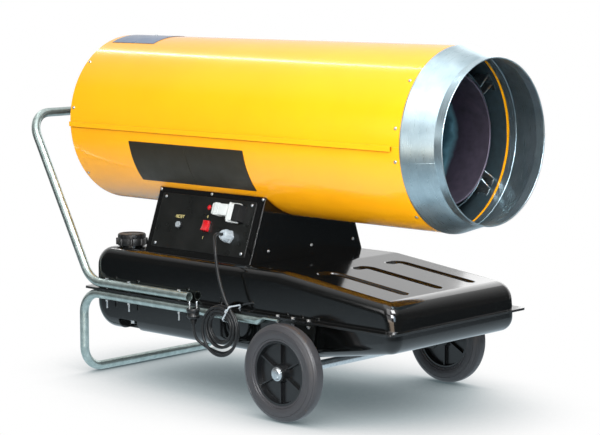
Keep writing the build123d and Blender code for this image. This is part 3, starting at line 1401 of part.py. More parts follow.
# ================================================================ plates and screws on the casing
plate_r = BARREL_R + TOUCH
with BuildPart() as side_plates:
    half_gap = SIDE_PLATE_GAP / 2
    front_plate = (SIDE_PLATE[0], SIDE_PLATE[2] - half_gap)
    rear_plate = (SIDE_PLATE[2] + half_gap, SIDE_PLATE[1])
    for start, end in (front_plate, rear_plate):
        with BuildSketch(barrel_plane(AXLE_Y + start)):
            sector_face(plate_r, plate_r + PLATE_T, -41, 30)
        extrude(amount=end - start)
finish(side_plates, "side_plates")

top_screw = radial_plane(TOP_SCREW_Y, 90, plate_r + PLATE_T)
with BuildPart() as top_plate:
    with BuildSketch(barrel_plane(AXLE_Y + TOP_PLATE[0])):
        sector_face(plate_r, plate_r + PLATE_T, 67, 46)
    extrude(amount=TOP_PLATE[1] - TOP_PLATE[0])
    with BuildSketch(top_screw):
        Circle(SCREW_R + HOLE)
    extrude(amount=2 * PLATE_T, both=True, mode=Mode.SUBTRACT)
finish(top_plate, "top_plate")

screw_places = [radial_plane(y, a) for y, a in FRONT_UPPER_SCREWS + FRONT_LOWER_SCREWS + REAR_SCREWS]
screw_places += front_screw_places
screw_places += side_screw_places
screw_places += [place.offset(PANEL_SHEET) for place in panel_screw_places]
screw_places += [top_screw]
with BuildPart() as casing_screws:
    with BuildSketch(*screw_places):
        Circle(SCREW_HEAD_R)
    extrude(amount=SCREW_HEAD_H, taper=20)
    with BuildSketch(*screw_places):
        Circle(SCREW_R)
    extrude(amount=-SCREW_LENGTH)
finish(casing_screws, "casing_screws")

# ================================================================ supply cord


def bend_radii(points):
    """Radius for each corner of a hand-set cord line, from its shorter neighbouring run."""
    corners = [Vector(*p) for p in points]
    radii = []
    for before, corner, after in zip(corners, corners[1:], corners[2:]):
        run_in = corner - before
        run_out = after - corner
        half_turn = radians(run_in.get_angle(run_out)) / 2
        radii.append(0.45 * min(run_in.length, run_out.length) / tan(half_turn))
    return radii


def cord_tube(line):
    """Solid round cord along a finished line."""
    with BuildPart() as tube:
        with BuildLine():
            add(line)
        with BuildSketch(Plane(origin=line @ 0, z_dir=line % 0)):
            Circle(CORD_R)
        sweep()
    return tube.part


def report_cord(label, wire, solid):
    """Print a cord's length, and its volume against section times length."""
    print(label, "length", round(wire.length, 1), "volume", round(solid.volume, 1),
          "section x length", round(wire.length * pi * CORD_R**2, 1))


def coil_state(turned):
    """Point on the coil's centreline, in turns from its start."""
    angle = radians(COIL_START) - 2 * pi * turned
    total = COIL_TOTAL_TURNS
    climb = min(max(turned - COIL_TURN_BACK + 0.25, 0), 0.5)
    layer = (1 - cos(2 * pi * climb)) / 2
    if turned <= COIL_TURN_BACK:
        count = turned
    else:
        count = (COIL_TURN_BACK + COIL_OUT) * (total - turned) / (total - COIL_TURN_BACK) - COIL_OUT
    tied = cos(angle - radians(TIE_ANGLE))
    pitch = (COIL_PITCH_TIED + COIL_PITCH_LOOSE) / 2 - (COIL_PITCH_LOOSE - COIL_PITCH_TIED) / 2 * tied
    sag = SLACK * sin(pi * min(turned, 0.75) / 0.75) ** 2
    radius = COIL_R + sag - pitch * count
    x = COIL_X - COIL_LAYER / 2 + COIL_LAYER * layer
    return Vector(x, coil_y - radius * cos(angle), COIL_Z + radius * sin(angle))


COIL_TOTAL_TURNS = 5 + 145 / 360
COIL_TURN_BACK = COIL_TURNS    # turns at which the spiral reverses, half way up the climb
COIL_OUT = 0.12                # how far outside the first turn the coil ends, in pitches
COIL_X = -TUBE_X - TUBE_R - 0.5 - CORD_R - COIL_LAYER / 2
COIL_STEPS = 4                 # fixed points in each turn


def coil_direction(turned):
    """Unit tangent of the coil's centreline."""
    step = 0.001
    return (coil_state(turned + step) - coil_state(turned - step)).normalized()


def biarc_middle(start, start_way, end, end_way):
    """Point where the two arcs that join two places with given directions meet."""
    chord = end - start
    both = start_way + end_way
    spread = 2 * (1 - start_way.dot(end_way))
    along = chord.dot(both)
    reach = (-along + (along**2 + spread * chord.dot(chord)) ** 0.5) / spread
    return (start + start_way * reach + end - end_way * reach) / 2


coil_marks = [i / COIL_STEPS for i in range(int(COIL_TOTAL_TURNS * COIL_STEPS) + 1)]
coil_marks[-1] = COIL_TOTAL_TURNS
coil_points = [coil_state(t) for t in coil_marks]
coil_ways = [coil_direction(max(t, 0.001)) for t in coil_marks]
first_way = coil_ways[0]
last_way = coil_ways[-1]
coil_entry = coil_points[0] - first_way * 2 * CORD_R
coil_exit = coil_points[-1] + last_way * 2 * CORD_R
with BuildLine(mode=Mode.PRIVATE) as coil_line:
    Line(coil_entry, coil_points[0])
    for i in range(len(coil_points) - 1):
        middle = biarc_middle(coil_points[i], coil_ways[i], coil_points[i + 1], coil_ways[i + 1])
        first = TangentArc(coil_points[i], middle, tangent=coil_ways[i])
        TangentArc(middle, coil_points[i + 1], tangent=first % 1)
    Line(coil_points[-1], coil_exit)
with BuildPart() as cord_coil:
    add(cord_tube(coil_line.line))
finish(cord_coil, "cord_coil")
report_cord("cord_coil", coil_line.wire(), cord_coil.part)
coil_places = [coil_state(t / 60) for t in range(int(COIL_TOTAL_TURNS * 60))]
least = min(
    (coil_places[i] - coil_places[j]).length
    for i in range(len(coil_places))
    for j in range(i + 30, len(coil_places))
)
print("cord_coil least gap to itself", round(least - 2 * CORD_R, 2))

# drop from the gland to the coil
gland_mouth = gland_base.from_local_coords((0, 0, GLAND_LENGTH - 6))
drop_points = [
    tuple(gland_mouth),
    tuple(gland_mouth + out_of_panel * 44),
    (COIL_X - 2.4, AXLE_Y + 283, 415.0),
    (COIL_X - 5.4, AXLE_Y + 275.5, 372.0),
    (COIL_X - 6.9, AXLE_Y + 264.5, 328.0),
    tuple(coil_entry - first_way * 34),
    tuple(coil_entry),
]
drop_radii = bend_radii(drop_points)
print("cord_drop bend radii", [round(r) for r in drop_radii])
with BuildLine(mode=Mode.PRIVATE) as drop_line:
    FilletPolyline(*drop_points, radius=drop_radii)
with BuildPart() as cord_drop:
    add(cord_tube(drop_line.line))
finish(cord_drop, "cord_drop")
report_cord("cord_drop", drop_line.wire(), cord_drop.part)

# tail from the coil up into the plug
plug_foot = Vector(-TUBE_X - TUBE_R - 6 - PLUG_R, AXLE_Y + 353, 202)
TAIL_RISE = 34.0
tail_points = [
    tuple(coil_exit),
    tuple(coil_exit + last_way * 37),
    tuple(plug_foot - Vector(0, 0, TAIL_RISE)),
    tuple(plug_foot),
]
tail_radii = bend_radii(tail_points)
print("cord_tail bend radii", [round(r) for r in tail_radii])
with BuildLine(mode=Mode.PRIVATE) as tail_line:
    FilletPolyline(*tail_points, radius=tail_radii)
with BuildPart() as cord_tail:
    add(cord_tube(tail_line.line))
finish(cord_tail, "cord_tail")
report_cord("cord_tail", tail_line.wire(), cord_tail.part)

# two-pin plug, pins upwards
PLUG_NECK = 14.0
PIN_TURN = -47.0
with BuildPart() as plug:
    with BuildSketch(Plane.XY.offset(plug_foot.Z)):
        with Locations((plug_foot.X, plug_foot.Y)):
            Circle(CORD_R + 2.5)
    with BuildSketch(Plane.XY.offset(plug_foot.Z + PLUG_NECK)):
        with Locations((plug_foot.X, plug_foot.Y)):
            Circle(PLUG_R - 2)
    loft()
    with BuildSketch(Plane.XY.offset(plug_foot.Z + PLUG_NECK)):
        with Locations((plug_foot.X, plug_foot.Y)):
            Circle(PLUG_R)
    extrude(amount=PLUG_LENGTH - PLUG_NECK)
    fillet(plug.faces().sort_by(Axis.Z)[-1].edges(), radius=2)
    with BuildSketch(Plane.XY.offset(plug_foot.Z + PLUG_LENGTH)):
        with Locations(Location((plug_foot.X, plug_foot.Y), PIN_TURN)):
            with GridLocations(PIN_PITCH, 1, 2, 1):
                Circle(PIN_R)
    extrude(amount=PIN_LENGTH)
finish(plug, "plug")

# cable tie round the coil, the leg tube and the edge of the flange
tie_out = Vector(0, -cos(radians(TIE_ANGLE)), sin(radians(TIE_ANGLE)))
tie_plane = Plane(origin=(0, coil_y, COIL_Z), x_dir=(1, 0, 0), z_dir=Vector(1, 0, 0).cross(tie_out))
tie_outboard = COIL_X - COIL_LAYER / 2 - CORD_R - 0.4
tie_inboard = -TUBE_X + TUBE_R + 0.4
with BuildPart() as cable_tie:
    with BuildSketch(tie_plane):
        with BuildLine():
            FilletPolyline(
                (tie_outboard, 76),
                (tie_outboard, 31),
                (-TUBE_X - 4, 20),
                (tie_inboard, 20),
                (tie_inboard, 76),
                radius=4,
                close=True,
            )
        make_face()
        offset(amount=TIE_T)
        with BuildLine():
            FilletPolyline(
                (tie_outboard, 76),
                (tie_outboard, 31),
                (-TUBE_X - 4, 20),
                (tie_inboard, 20),
                (tie_inboard, 76),
                radius=4,
                close=True,
            )
        make_face(mode=Mode.SUBTRACT)
    extrude(amount=TIE_WIDTH / 2, both=True)
    with BuildSketch(tie_plane):
        with Locations((tie_outboard - TIE_T - 2, 62)):
            Rectangle(4, 9)
    extrude(amount=TIE_WIDTH / 2 + 1, both=True)
finish(cable_tie, "cable_tie")
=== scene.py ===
"""Dresses the forced air heater: finishes, cord, fasteners, tyres and lettering on the solid model."""
import logging
import math
from dataclasses import dataclass, field
from enum import Enum

import bmesh
import bpy
from mathutils import Matrix, Vector


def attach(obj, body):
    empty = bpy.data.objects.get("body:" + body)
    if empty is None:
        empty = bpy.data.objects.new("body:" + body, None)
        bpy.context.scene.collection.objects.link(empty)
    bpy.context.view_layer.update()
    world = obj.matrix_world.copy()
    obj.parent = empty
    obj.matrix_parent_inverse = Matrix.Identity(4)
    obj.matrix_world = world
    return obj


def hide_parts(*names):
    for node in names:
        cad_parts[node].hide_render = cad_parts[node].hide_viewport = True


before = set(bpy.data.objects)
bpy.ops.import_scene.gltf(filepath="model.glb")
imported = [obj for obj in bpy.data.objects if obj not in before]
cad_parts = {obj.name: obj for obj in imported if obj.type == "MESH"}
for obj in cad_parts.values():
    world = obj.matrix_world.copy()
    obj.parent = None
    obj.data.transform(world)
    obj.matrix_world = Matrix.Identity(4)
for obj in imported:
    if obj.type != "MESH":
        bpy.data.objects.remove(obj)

log = logging.getLogger("heater")

# ------------------------------------------------------------------ shared places, in metres
AXLE_Y = -0.33307  # the wheels' axle
AXIS_Z = 0.708  # the barrel's axis
BARREL_FRONT_Y = AXLE_Y - 0.296  # where the yellow shells meet the cone
BARREL_REAR_Y = BARREL_FRONT_Y + 1.210
BARREL_R = 0.235
OUTLET_Y = BARREL_FRONT_Y - 0.1095  # the collar's mouth
SLOPE = math.atan2(0.062, 0.174)  # lean of the pedestal's wall, 62 mm in over 174 mm up
PANEL_OUT = Vector((-math.cos(SLOPE), 0, math.sin(SLOPE)))
PANEL_UP = Vector((math.sin(SLOPE), 0, math.cos(SLOPE)))
PANEL_DROP = 0.0923  # from the wall's upper edge down the slope to the panel's middle
PANEL_BACK = 0.4252  # from the axle back to the panel's middle
PANEL_MID = Vector((-(0.160 + PANEL_DROP * math.sin(SLOPE)), AXLE_Y + PANEL_BACK,
                    0.537 - PANEL_DROP * math.cos(SLOPE)))
PANEL_SHEET = 0.002  # the panel's front over the housing's wall
GLAND = (0.108, -0.025)  # the cable gland on the panel
PLUG_FOOT = Vector((-0.3005, AXLE_Y + 0.353, 0.202))  # where the cord enters its plug
BODY = "heater"


def on_panel(x: float, y: float, height: float) -> Vector:
    """Place on the control panel from its middle.

    Args:
        x: metres towards the outlet.
        y: metres up the slope.
        height: metres out of the housing's wall.

    Returns:
        The point in the object's frame.
    """
    return PANEL_MID + Vector((0, -x, 0)) + PANEL_UP * y + PANEL_OUT * height


def frame_of(origin: Vector, out: Vector, up: Vector) -> Matrix:
    """Matrix that lays a piece made on the XY plane, Z up, onto a surface.

    Args:
        origin: where the piece's origin goes.
        out: where its Z goes.
        up: roughly where its Y goes.

    Returns:
        The placing matrix.
    """
    z = out.normalized()
    x = up.cross(z).normalized()
    y = z.cross(x)
    turn = Matrix((x, y, z)).transposed().to_4x4()
    return Matrix.Translation(origin) @ turn


def panel_frame(x: float, y: float, height: float) -> Matrix:
    """Matrix onto the control panel, from the same three lengths as on_panel."""
    return frame_of(on_panel(x, y, height), PANEL_OUT, PANEL_UP)


def around_barrel(y: float, angle: float, radius: float = BARREL_R) -> Matrix:
    """Matrix onto the barrel's skin.

    Args:
        y: place along the barrel.
        angle: degrees above the panel side.
        radius: distance from the axis.

    Returns:
        The placing matrix, Z outwards.
    """
    a = math.radians(angle)
    out = Vector((-math.cos(a), 0, math.sin(a)))
    return frame_of(Vector((0, y, AXIS_Z)) + out * radius, out, Vector((0, 1, 0)))


def turns(place: Matrix, count: int, at: tuple[float, float, float], phase: float = 0.0) -> list[Matrix]:
    """Matrices spaced evenly about a placing matrix's Z axis.

    Args:
        place: the placing matrix.
        count: how many.
        at: place of the first one before it turns.
        phase: its turn, as a share of the step between two.

    Returns:
        The placing matrices.
    """
    out = Matrix.Translation(at)
    return [place @ Matrix.Rotation(math.tau * (step + phase) / count, 4, "Z") @ out for step in range(count)]


# ------------------------------------------------------------------ shader nodes
def linear(code: str) -> tuple[float, float, float, float]:
    """Linear colour of an sRGB hex code such as '#f0b31e'."""
    parts = [int(code[i : i + 2], 16) / 255 for i in (1, 3, 5)]
    return (*[c / 12.92 if c <= 0.04045 else ((c + 0.055) / 1.055) ** 2.4 for c in parts], 1.0)


def connect(tree: bpy.types.NodeTree, made: bpy.types.Node, links: dict) -> None:
    """Link or set a node's inputs.

    Args:
        tree: the node tree.
        made: the node.
        links: input name or index to a socket to link, or to a value to set.
    """
    for name, value in links.items():
        if isinstance(value, bpy.types.NodeSocket):
            tree.links.new(value, made.inputs[name])
        else:
            made.inputs[name].default_value = value


def node(tree: bpy.types.NodeTree, kind: str, links: dict | None = None,
         **settings: str | int) -> bpy.types.Node:
    """Add one shader node.

    Args:
        tree: the node tree.
        kind: the node's type name.
        links: its inputs, as connect takes them.
        settings: attributes of the node.

    Returns:
        The new node.
    """
    made = tree.nodes.new(kind)
    for name, value in settings.items():
        setattr(made, name, value)
    connect(tree, made, links or {})
    return made


def set_stops(ramp: bpy.types.ColorRamp, stops: tuple[tuple[float, str], ...]) -> None:
    """Place hex colours along a colour ramp.

    Args:
        ramp: the ramp, with its two first stops.
        stops: position and hex colour of each stop, in order.
    """
    for end in (0, -1):
        ramp.elements[end].position, ramp.elements[end].color = stops[end][0], linear(stops[end][1])
    for position, colour in stops[1:-1]:
        ramp.elements.new(position).color = linear(colour)


class Recipe:
    """A material in the making: its patterns have real sizes and lie on the object's own coordinates."""

    def __init__(self, name: str) -> None:
        """Start a material.

        Args:
            name: its name.
        """
        self.material = bpy.data.materials.new(name)
        self.material.use_nodes = True
        self.tree = self.material.node_tree
        self.place = node(self.tree, "ShaderNodeTexCoord").outputs["Object"]

    def pattern(self, size_mm: float, detail: float,
                stretch: tuple[float, float, float] = (1, 1, 1)) -> bpy.types.NodeSocket:
        """Blotches of a real size.

        Args:
            size_mm: width of one blotch.
            detail: octaves of finer blotches in it.
            stretch: coordinate factors, under 1 to draw the blotches out.

        Returns:
            The pattern, from 0 to 1.
        """
        laid = node(self.tree, "ShaderNodeMapping", {"Vector": self.place, "Scale": stretch}).outputs[0]
        links = {"Vector": laid, "Scale": 1000 / size_mm, "Detail": detail, "Roughness": 0.55}
        return node(self.tree, "ShaderNodeTexNoise", links).outputs["Fac"]

    def drift(self, pattern: bpy.types.NodeSocket, first: str | bpy.types.NodeSocket, second: str,
              least: float = 0.0, most: float = 1.0,
              start: float = 0.3, end: float = 0.7) -> bpy.types.NodeSocket:
        """Colour that drifts from one to another with a pattern.

        Args:
            pattern: the pattern.
            first: hex code, or a colour already mixed.
            second: hex code.
            least: share of the second colour at the start of the drift.
            most: its share at the end.
            start: where in the pattern the drift starts.
            end: where it ends.

        Returns:
            The colour.
        """
        share = node(self.tree, "ShaderNodeMapRange", {
            "Value": pattern, "From Min": start, "From Max": end, "To Min": least, "To Max": most})
        base = linear(first) if isinstance(first, str) else first
        links = {"Factor": share.outputs[0], 6: base, 7: linear(second)}
        return node(self.tree, "ShaderNodeMix", links, data_type="RGBA").outputs[2]

    def relief(self, pattern: bpy.types.NodeSocket, depth_mm: float, strength: float,
               edge_mm: float = 0.0) -> bpy.types.NodeSocket:
        """Normal of a surface with a pattern pressed into it.

        Args:
            pattern: the pattern.
            depth_mm: its depth.
            strength: share of the depth that shows.
            edge_mm: radius at which sharp edges catch the light.

        Returns:
            The normal.
        """
        links = {"Height": pattern, "Distance": depth_mm / 1000, "Strength": strength}
        if edge_mm:
            rounded = node(self.tree, "ShaderNodeBevel", {"Radius": edge_mm / 1000}, samples=6)
            links["Normal"] = rounded.outputs[0]
        return node(self.tree, "ShaderNodeBump", links).outputs["Normal"]

    def finish(self, colour: bpy.types.NodeSocket, wear: bpy.types.NodeSocket, least: float, most: float,
               normal: bpy.types.NodeSocket, fixed: dict) -> bpy.types.Material:
        """Put everything on the surface shader.

        Args:
            colour: base colour.
            wear: pattern by which the roughness varies.
            least: least roughness.
            most: most roughness.
            normal: normal from the relief.
            fixed: the shader's inputs that are the same all over.

        Returns:
            The material.
        """
        rough = node(self.tree, "ShaderNodeMapRange", {
            "Value": wear, "From Min": 0.3, "From Max": 0.7, "To Min": least, "To Max": most})
        shader = self.tree.nodes["Principled BSDF"]
        connect(self.tree, shader, {
            "Base Color": colour, "Roughness": rough.outputs[0], "Normal": normal, **fixed})
        return self.material


# ------------------------------------------------------------------ finishes
@dataclass(frozen=True)
class Blank:
    """What every finish has: the name of its material."""

    name: str


@dataclass(frozen=True)
class PowderCoat(Blank):
    """Powder-coated sheet steel: even gloss colour with a fine orange peel and faint dust."""

    colour: str
    shade: str  # second colour, in broad drifts
    roughness: float = 0.28
    coat: float = 0.5  # weight of the clear gloss on top
    peel_mm: float = 4.0  # width of the orange peel, a little coarser than real so that it shows
    edge_mm: float = 1.2  # radius at which edges catch the light
    painted_shade: str = ""  # colour of the painted shade in narrow gaps, none if empty
    painted_shade_reach: float = 0.022  # metres from a gap's depth in which the painted shade shows

    def build(self) -> bpy.types.Material:
        """Make the material.

        Returns:
            The material.
        """
        mix = Recipe(self.name)
        coat = mix.drift(mix.pattern(220, 2), self.colour, self.shade, most=0.5)
        # Painted shade: in narrow gaps found by ambient occlusion, the colour darkens to a brown that stands
        # in for shadow.
        if self.painted_shade:
            open_air = node(mix.tree, "ShaderNodeAmbientOcclusion", {"Distance": self.painted_shade_reach}, samples=8)
            coat = mix.drift(open_air.outputs["AO"], coat, self.painted_shade, least=1, most=0, start=0.42, end=0.9)
        dust, peel = mix.pattern(45, 5), mix.pattern(self.peel_mm, 1)
        return mix.finish(coat, dust, self.roughness * 0.85, self.roughness * 1.3,
                          mix.relief(peel, 0.012, 0.4, self.edge_mm),
                          {"IOR": 1.5, "Coat Weight": self.coat, "Coat Roughness": 0.06})


@dataclass(frozen=True)
class Zinc(Blank):
    """Zinc or bare metal: pale, faintly cloudy, with fine lines from rolling or drawing."""

    colour: str
    shade: str  # second colour, in the clouds
    roughness: float = 0.3
    cloud_mm: float = 40.0  # width of the clouds
    line_mm: float = 1.6  # distance between the lines, coarser than real so that they show
    rolled: tuple[float, float, float] = (1, 1, 1)  # coordinate factors that draw the lines out
    bare: float = 1.0  # share of bare metal, the rest a chalky film

    def build(self) -> bpy.types.Material:
        """Make the material.

        Returns:
            The material.
        """
        mix = Recipe(self.name)
        lines = mix.pattern(self.line_mm, 3, self.rolled)
        return mix.finish(mix.drift(mix.pattern(self.cloud_mm, 4), self.colour, self.shade),
                          lines, self.roughness * 0.85, self.roughness * 1.2,
                          mix.relief(lines, 0.004, 0.5, 0.6), {"Metallic": self.bare})


@dataclass(frozen=True)
class HeatTint(Blank):
    """Steel sheet that has been hot: bands of colour along the barrel under a film of soot, temper colours
    together with any painted highlight and painted shade.
    """

    bands: tuple[tuple[float, str], ...]  # share of the reach, and colour there
    start_y: float  # where the bands start
    reach: float  # metres inwards over which they run
    roughness: float = 0.36
    oxide: float = 0.5  # share of metal that shows through the oxide
    wander: float = 0.018  # metres by which a band's edge strays

    def build(self) -> bpy.types.Material:
        """Make the material.

        Returns:
            The material.
        """
        mix = Recipe(self.name)
        along = node(mix.tree, "ShaderNodeSeparateXYZ", {0: mix.place}).outputs["Y"]
        stray = node(mix.tree, "ShaderNodeMapRange", {
            "Value": mix.pattern(120, 3), "From Min": 0.3, "From Max": 0.7,
            "To Min": -self.wander, "To Max": self.wander})
        moved = node(mix.tree, "ShaderNodeMath", {0: along, 1: stray.outputs[0]}, operation="ADD")
        depth = node(mix.tree, "ShaderNodeMapRange", {
            "Value": moved.outputs[0], "From Min": self.start_y, "From Max": self.start_y + self.reach})
        tint = node(mix.tree, "ShaderNodeValToRGB", {"Fac": depth.outputs[0]})
        set_stops(tint.color_ramp, self.bands)
        soot = mix.pattern(30, 6)
        brushed = mix.pattern(2, 3, (0.1, 1, 0.1))
        return mix.finish(mix.drift(soot, tint.outputs[0], "#1d1b1e", most=0.4),
                          soot, self.roughness * 0.8, self.roughness * 1.4,
                          mix.relief(brushed, 0.006, 0.4, 0.6), {"Metallic": self.oxide})


@dataclass(frozen=True)
class Moulded(Blank):
    """Injection-moulded plastic: even colour with a fine eroded grain."""

    colour: str
    shade: str  # second colour, in faint clouds
    roughness: float = 0.5
    grain_mm: float = 0.8  # width of the grain, coarser than real so that it shows
    grain_depth_mm: float = 0.02
    coat: float = 0.0  # weight of a clear gloss on top

    def build(self) -> bpy.types.Material:
        """Make the material.

        Returns:
            The material.
        """
        mix = Recipe(self.name)
        cloud = mix.pattern(35, 4)
        return mix.finish(mix.drift(cloud, self.colour, self.shade),
                          cloud, self.roughness * 0.9, self.roughness * 1.15,
                          mix.relief(mix.pattern(self.grain_mm, 2), self.grain_depth_mm, 0.6, 0.5),
                          {"IOR": 1.49, "Coat Weight": self.coat, "Coat Roughness": 0.12})


@dataclass(frozen=True)
class Rubber(Blank):
    """Vulcanised rubber or soft PVC: dark with a dusty sheen and fine moulding lines."""

    colour: str
    dust: str  # colour where dust lies on it
    roughness: float = 0.55
    lines_mm: float = 2.0  # distance between the moulding lines

    def build(self) -> bpy.types.Material:
        """Make the material.

        Returns:
            The material.
        """
        mix = Recipe(self.name)
        dusty = mix.pattern(28, 6)
        return mix.finish(mix.drift(dusty, self.colour, self.dust, most=0.6, start=0.42, end=0.75),
                          dusty, self.roughness * 0.85, self.roughness * 1.2,
                          mix.relief(mix.pattern(self.lines_mm, 2), 0.03, 0.4),
                          {"IOR": 1.52, "Specular IOR Level": 0.32, "Sheen Weight": 0.05})


class Finish(Enum):
    """Every finish on the object: what it is, how it was made and what the eye sees."""

    # Powder-coated steel: warm even yellow with soft long highlights, a touch deeper in broad drifts.
    YELLOW_POWDER = PowderCoat("powder_coat_yellow", "#fbad12", "#f6a40f", 0.2, 0.35)
    # The same coat, with painted shade: a brown line where shadow falls under the upper shell's lip.
    YELLOW_PAINTED_SHADE = PowderCoat("powder_coat_yellow_painted_shade", "#fbad12", "#f6a40f", 0.2, 0.35, painted_shade="#8a4404")
    # Sprayed gloss enamel: deep black, with a bright line on every pressed edge.
    BLACK_ENAMEL = PowderCoat("enamel_black_gloss", "#060707", "#0a0b0b", 0.12, 0.45, 6.0, edge_mm=2.5)
    # Satin powder coat: softer black that greys in the light.
    BLACK_POWDER = PowderCoat("powder_coat_black_satin", "#0c0e0d", "#111312", 0.30, 0.1, 2.5)
    # Painted plate: brownish black, nearly matt against the yellow.
    PLATE_BLACK = PowderCoat("plate_black_satin", "#241f12", "#2f2818", 0.42, 0.0, 2.0)
    # Painted plate on the barrel's top: its blue grey colour is a painted reflection of the room, as the
    # plate looks at a low angle.
    PLATE_PAINTED_REFLECTION = PowderCoat("plate_painted_reflection", "#4a5f7d", "#5a7090", 0.30, 0.35, 2.0)
    # Galvanised sheet: cool silver, its blurred reflections drawn out by rolling lines round the barrel.
    CONE_ZINC = Zinc("galvanised_sheet", "#bed2da", "#9fb5bf", 0.3, 60.0, 1.5, (0.03, 1, 0.03), bare=0.93)
    # Galvanised sheet inside: duller grey with small clouds.
    INNER_ZINC = Zinc("galvanised_sheet_inner", "#98a4ab", "#7b878e", 0.36, 30.0)
    # Zinc-plated drawn tube: pale, slightly greenish and chalky.
    TUBE_ZINC = Zinc("zinc_plated_tube", "#bccac7", "#98a8a5", 0.33, 18.0, 1.2, bare=0.9)
    # Zinc-plated screws, bolts and nuts: bright, so that small ones glint.
    BOLT_ZINC = Zinc("zinc_plated_fastener", "#d8dcde", "#b9bfc3", 0.3, 8.0, 0.6)
    # Rolled stainless sheet that was hot: purple brown, then a pale teal ring that is a painted highlight,
    # then steel blue going dark inwards as painted shade.
    HOT_STEEL = HeatTint("heat_tinted_stainless", (
        (0.0, "#5a5362"), (0.17, "#4b4555"), (0.2, "#8cc9dd"), (0.225, "#5f93a8"), (0.27, "#37404e"),
        (0.5, "#33363f"), (1.0, "#242428")), -0.595, 0.6, 0.36, oxide=0.55)
    # Rolled sheet with clouds of soot: blue black, darker along the barrel towards the fan.
    LINER_STEEL = HeatTint("sooted_liner_steel", ((0.0, "#3a4b52"), (0.4, "#2b3236"), (1.0, "#242428")),
                           -0.6, 0.6, 0.42)
    # Die-cast aluminium: dull grey with a coarse skin.
    CAST_ALUMINIUM = Zinc("cast_aluminium", "#b9bcbe", "#8e9295", 0.45, 6.0, 0.8)
    # Sprayed machine enamel: plain dark grey.
    MOTOR_PAINT = PowderCoat("motor_paint_grey", "#3b4045", "#33383c", 0.4, 0.2, 2.0)
    # Turned brass: yellow metal with fine tool lines.
    BRASS = Zinc("turned_brass", "#d8b46a", "#b98f45", 0.3, 10.0, 0.5)
    # Glazed ceramic: creamy white with a wet gloss.
    GLAZED = Moulded("glazed_ceramic", "#f1efe8", "#e6e2d6", 0.2, 3.0, 0.01, coat=0.6)
    # Moulded ABS: black with a half-matt grain.
    BLACK_ABS = Moulded("abs_black", "#0d0e0f", "#141516", 0.38, 0.9)
    # Moulded nylon: black wheel centre, a little shinier, with a cold tinge.
    RIM_NYLON = Moulded("nylon_black_rim", "#0b0c0e", "#131517", 0.34, 1.2, coat=0.2)
    # Moulded ABS: off-white with a clean soft shine.
    WHITE_ABS = Moulded("abs_white", "#c6cac9", "#b9bebd", 0.3, 0.8, 0.01, coat=0.3)
    # Moulded nylon: blue-grey gland and tie, half matt.
    GREY_NYLON = Moulded("nylon_grey", "#a4aeb5", "#949ea5", 0.42, 0.8)
    # Moulded ABS button: mid grey.
    RESET_GREY = Moulded("button_grey", "#8b9296", "#7c8387", 0.38, 0.8)
    # Moulded polycarbonate: strong red with sharp highlights.
    RED_LENS = Moulded("polycarbonate_red", "#c4141c", "#a60d15", 0.16, 2.0, 0.01, coat=0.8)
    # Moulded solid rubber: blue-black, its rings catching a grey line.
    TYRE = Rubber("tyre_rubber", "#0d1114", "#1a2227", 0.24, 3.0)
    # Extruded soft PVC: black with a thin line of light along it.
    CORD = Rubber("cord_pvc_black", "#101214", "#1b1e20", 0.38, 1.5)
    # Screen-printed ink: pale yellowish, flat on the black.
    PRINT_CREAM = Moulded("screen_print_cream", "#d9cc8a", "#cfc180", 0.5, 1.0)

    def material(self) -> bpy.types.Material:
        """The finish's material, made on first use."""
        return bpy.data.materials.get(self.value.name) or self.value.build()


# ------------------------------------------------------------------ making and placing pieces
WELD = 1e-6  # points nearer than this are one, in metres
SMOOTH_UNDER = math.radians(34)  # faces that meet at less than this shade as one


@dataclass
class Assembly:
    """A group of pieces on one body of the solid model."""

    body: str = BODY

    def dress(self, finish: Finish, *names: str) -> None:
        """Give solid-model nodes their finish.

        Args:
            finish: the finish.
            names: the nodes.
        """
        for name in names:
            shown = bpy.data.objects[name]
            shown.data.materials.clear()
            shown.data.materials.append(finish.material())
            log.info("dressed %s in %s", name, finish.value.name)

    def keep(self, name: str, bm: bmesh.types.BMesh, finish: Finish, slot: str, smooth: bool = True,
             body: str | None = None, stands_for: tuple[str, ...] = ()) -> bpy.types.Object:
        """Turn a bmesh into a finished piece on its body.

        Args:
            name: the piece's name.
            bm: its mesh, already in place.
            finish: its finish.
            slot: name of its material slot; not used.
            smooth: shade smooth by angle.
            body: the body it rides on, if not the assembly's own.
            stands_for: nodes that it replaces.

        Returns:
            The piece.
        """
        bmesh.ops.remove_doubles(bm, verts=bm.verts, dist=WELD)
        bmesh.ops.recalc_face_normals(bm, faces=bm.faces)
        mesh = bpy.data.meshes.new(name)
        bm.to_mesh(mesh)
        bm.free()
        if smooth:
            mesh.shade_smooth()
            mesh.set_sharp_from_angle(angle=SMOOTH_UNDER)
        piece = bpy.data.objects.new(name, mesh)
        bpy.context.scene.collection.objects.link(piece)
        mesh.materials.append(finish.material())
        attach(piece, body or self.body)
        if stands_for:
            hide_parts(*stands_for)
        log.info("made %s: %d faces", name, len(mesh.polygons))
        return piece


def turned(points: list[tuple[float, float]], place: Matrix, steps: int = 48) -> bmesh.types.BMesh:
    """Closed lathe form about the local Z axis.

    Args:
        points: (radius, height) from one end of the axis to the other.
        place: where it goes.
        steps: faces round the axis.

    Returns:
        The mesh.
    """
    bm = bmesh.new()
    line = [bm.verts.new((r, 0, z)) for r, z in points]
    edges = [bm.edges.new(pair) for pair in zip(line, line[1:])]
    bmesh.ops.spin(bm, geom=line + edges, cent=(0, 0, 0), axis=(0, 0, 1), dvec=(0, 0, 0),
                   angle=math.tau, steps=steps, use_merge=True, use_duplicate=False)
    bmesh.ops.remove_doubles(bm, verts=bm.verts, dist=WELD / 10)
    bmesh.ops.transform(bm, matrix=place, verts=bm.verts)
    return bm


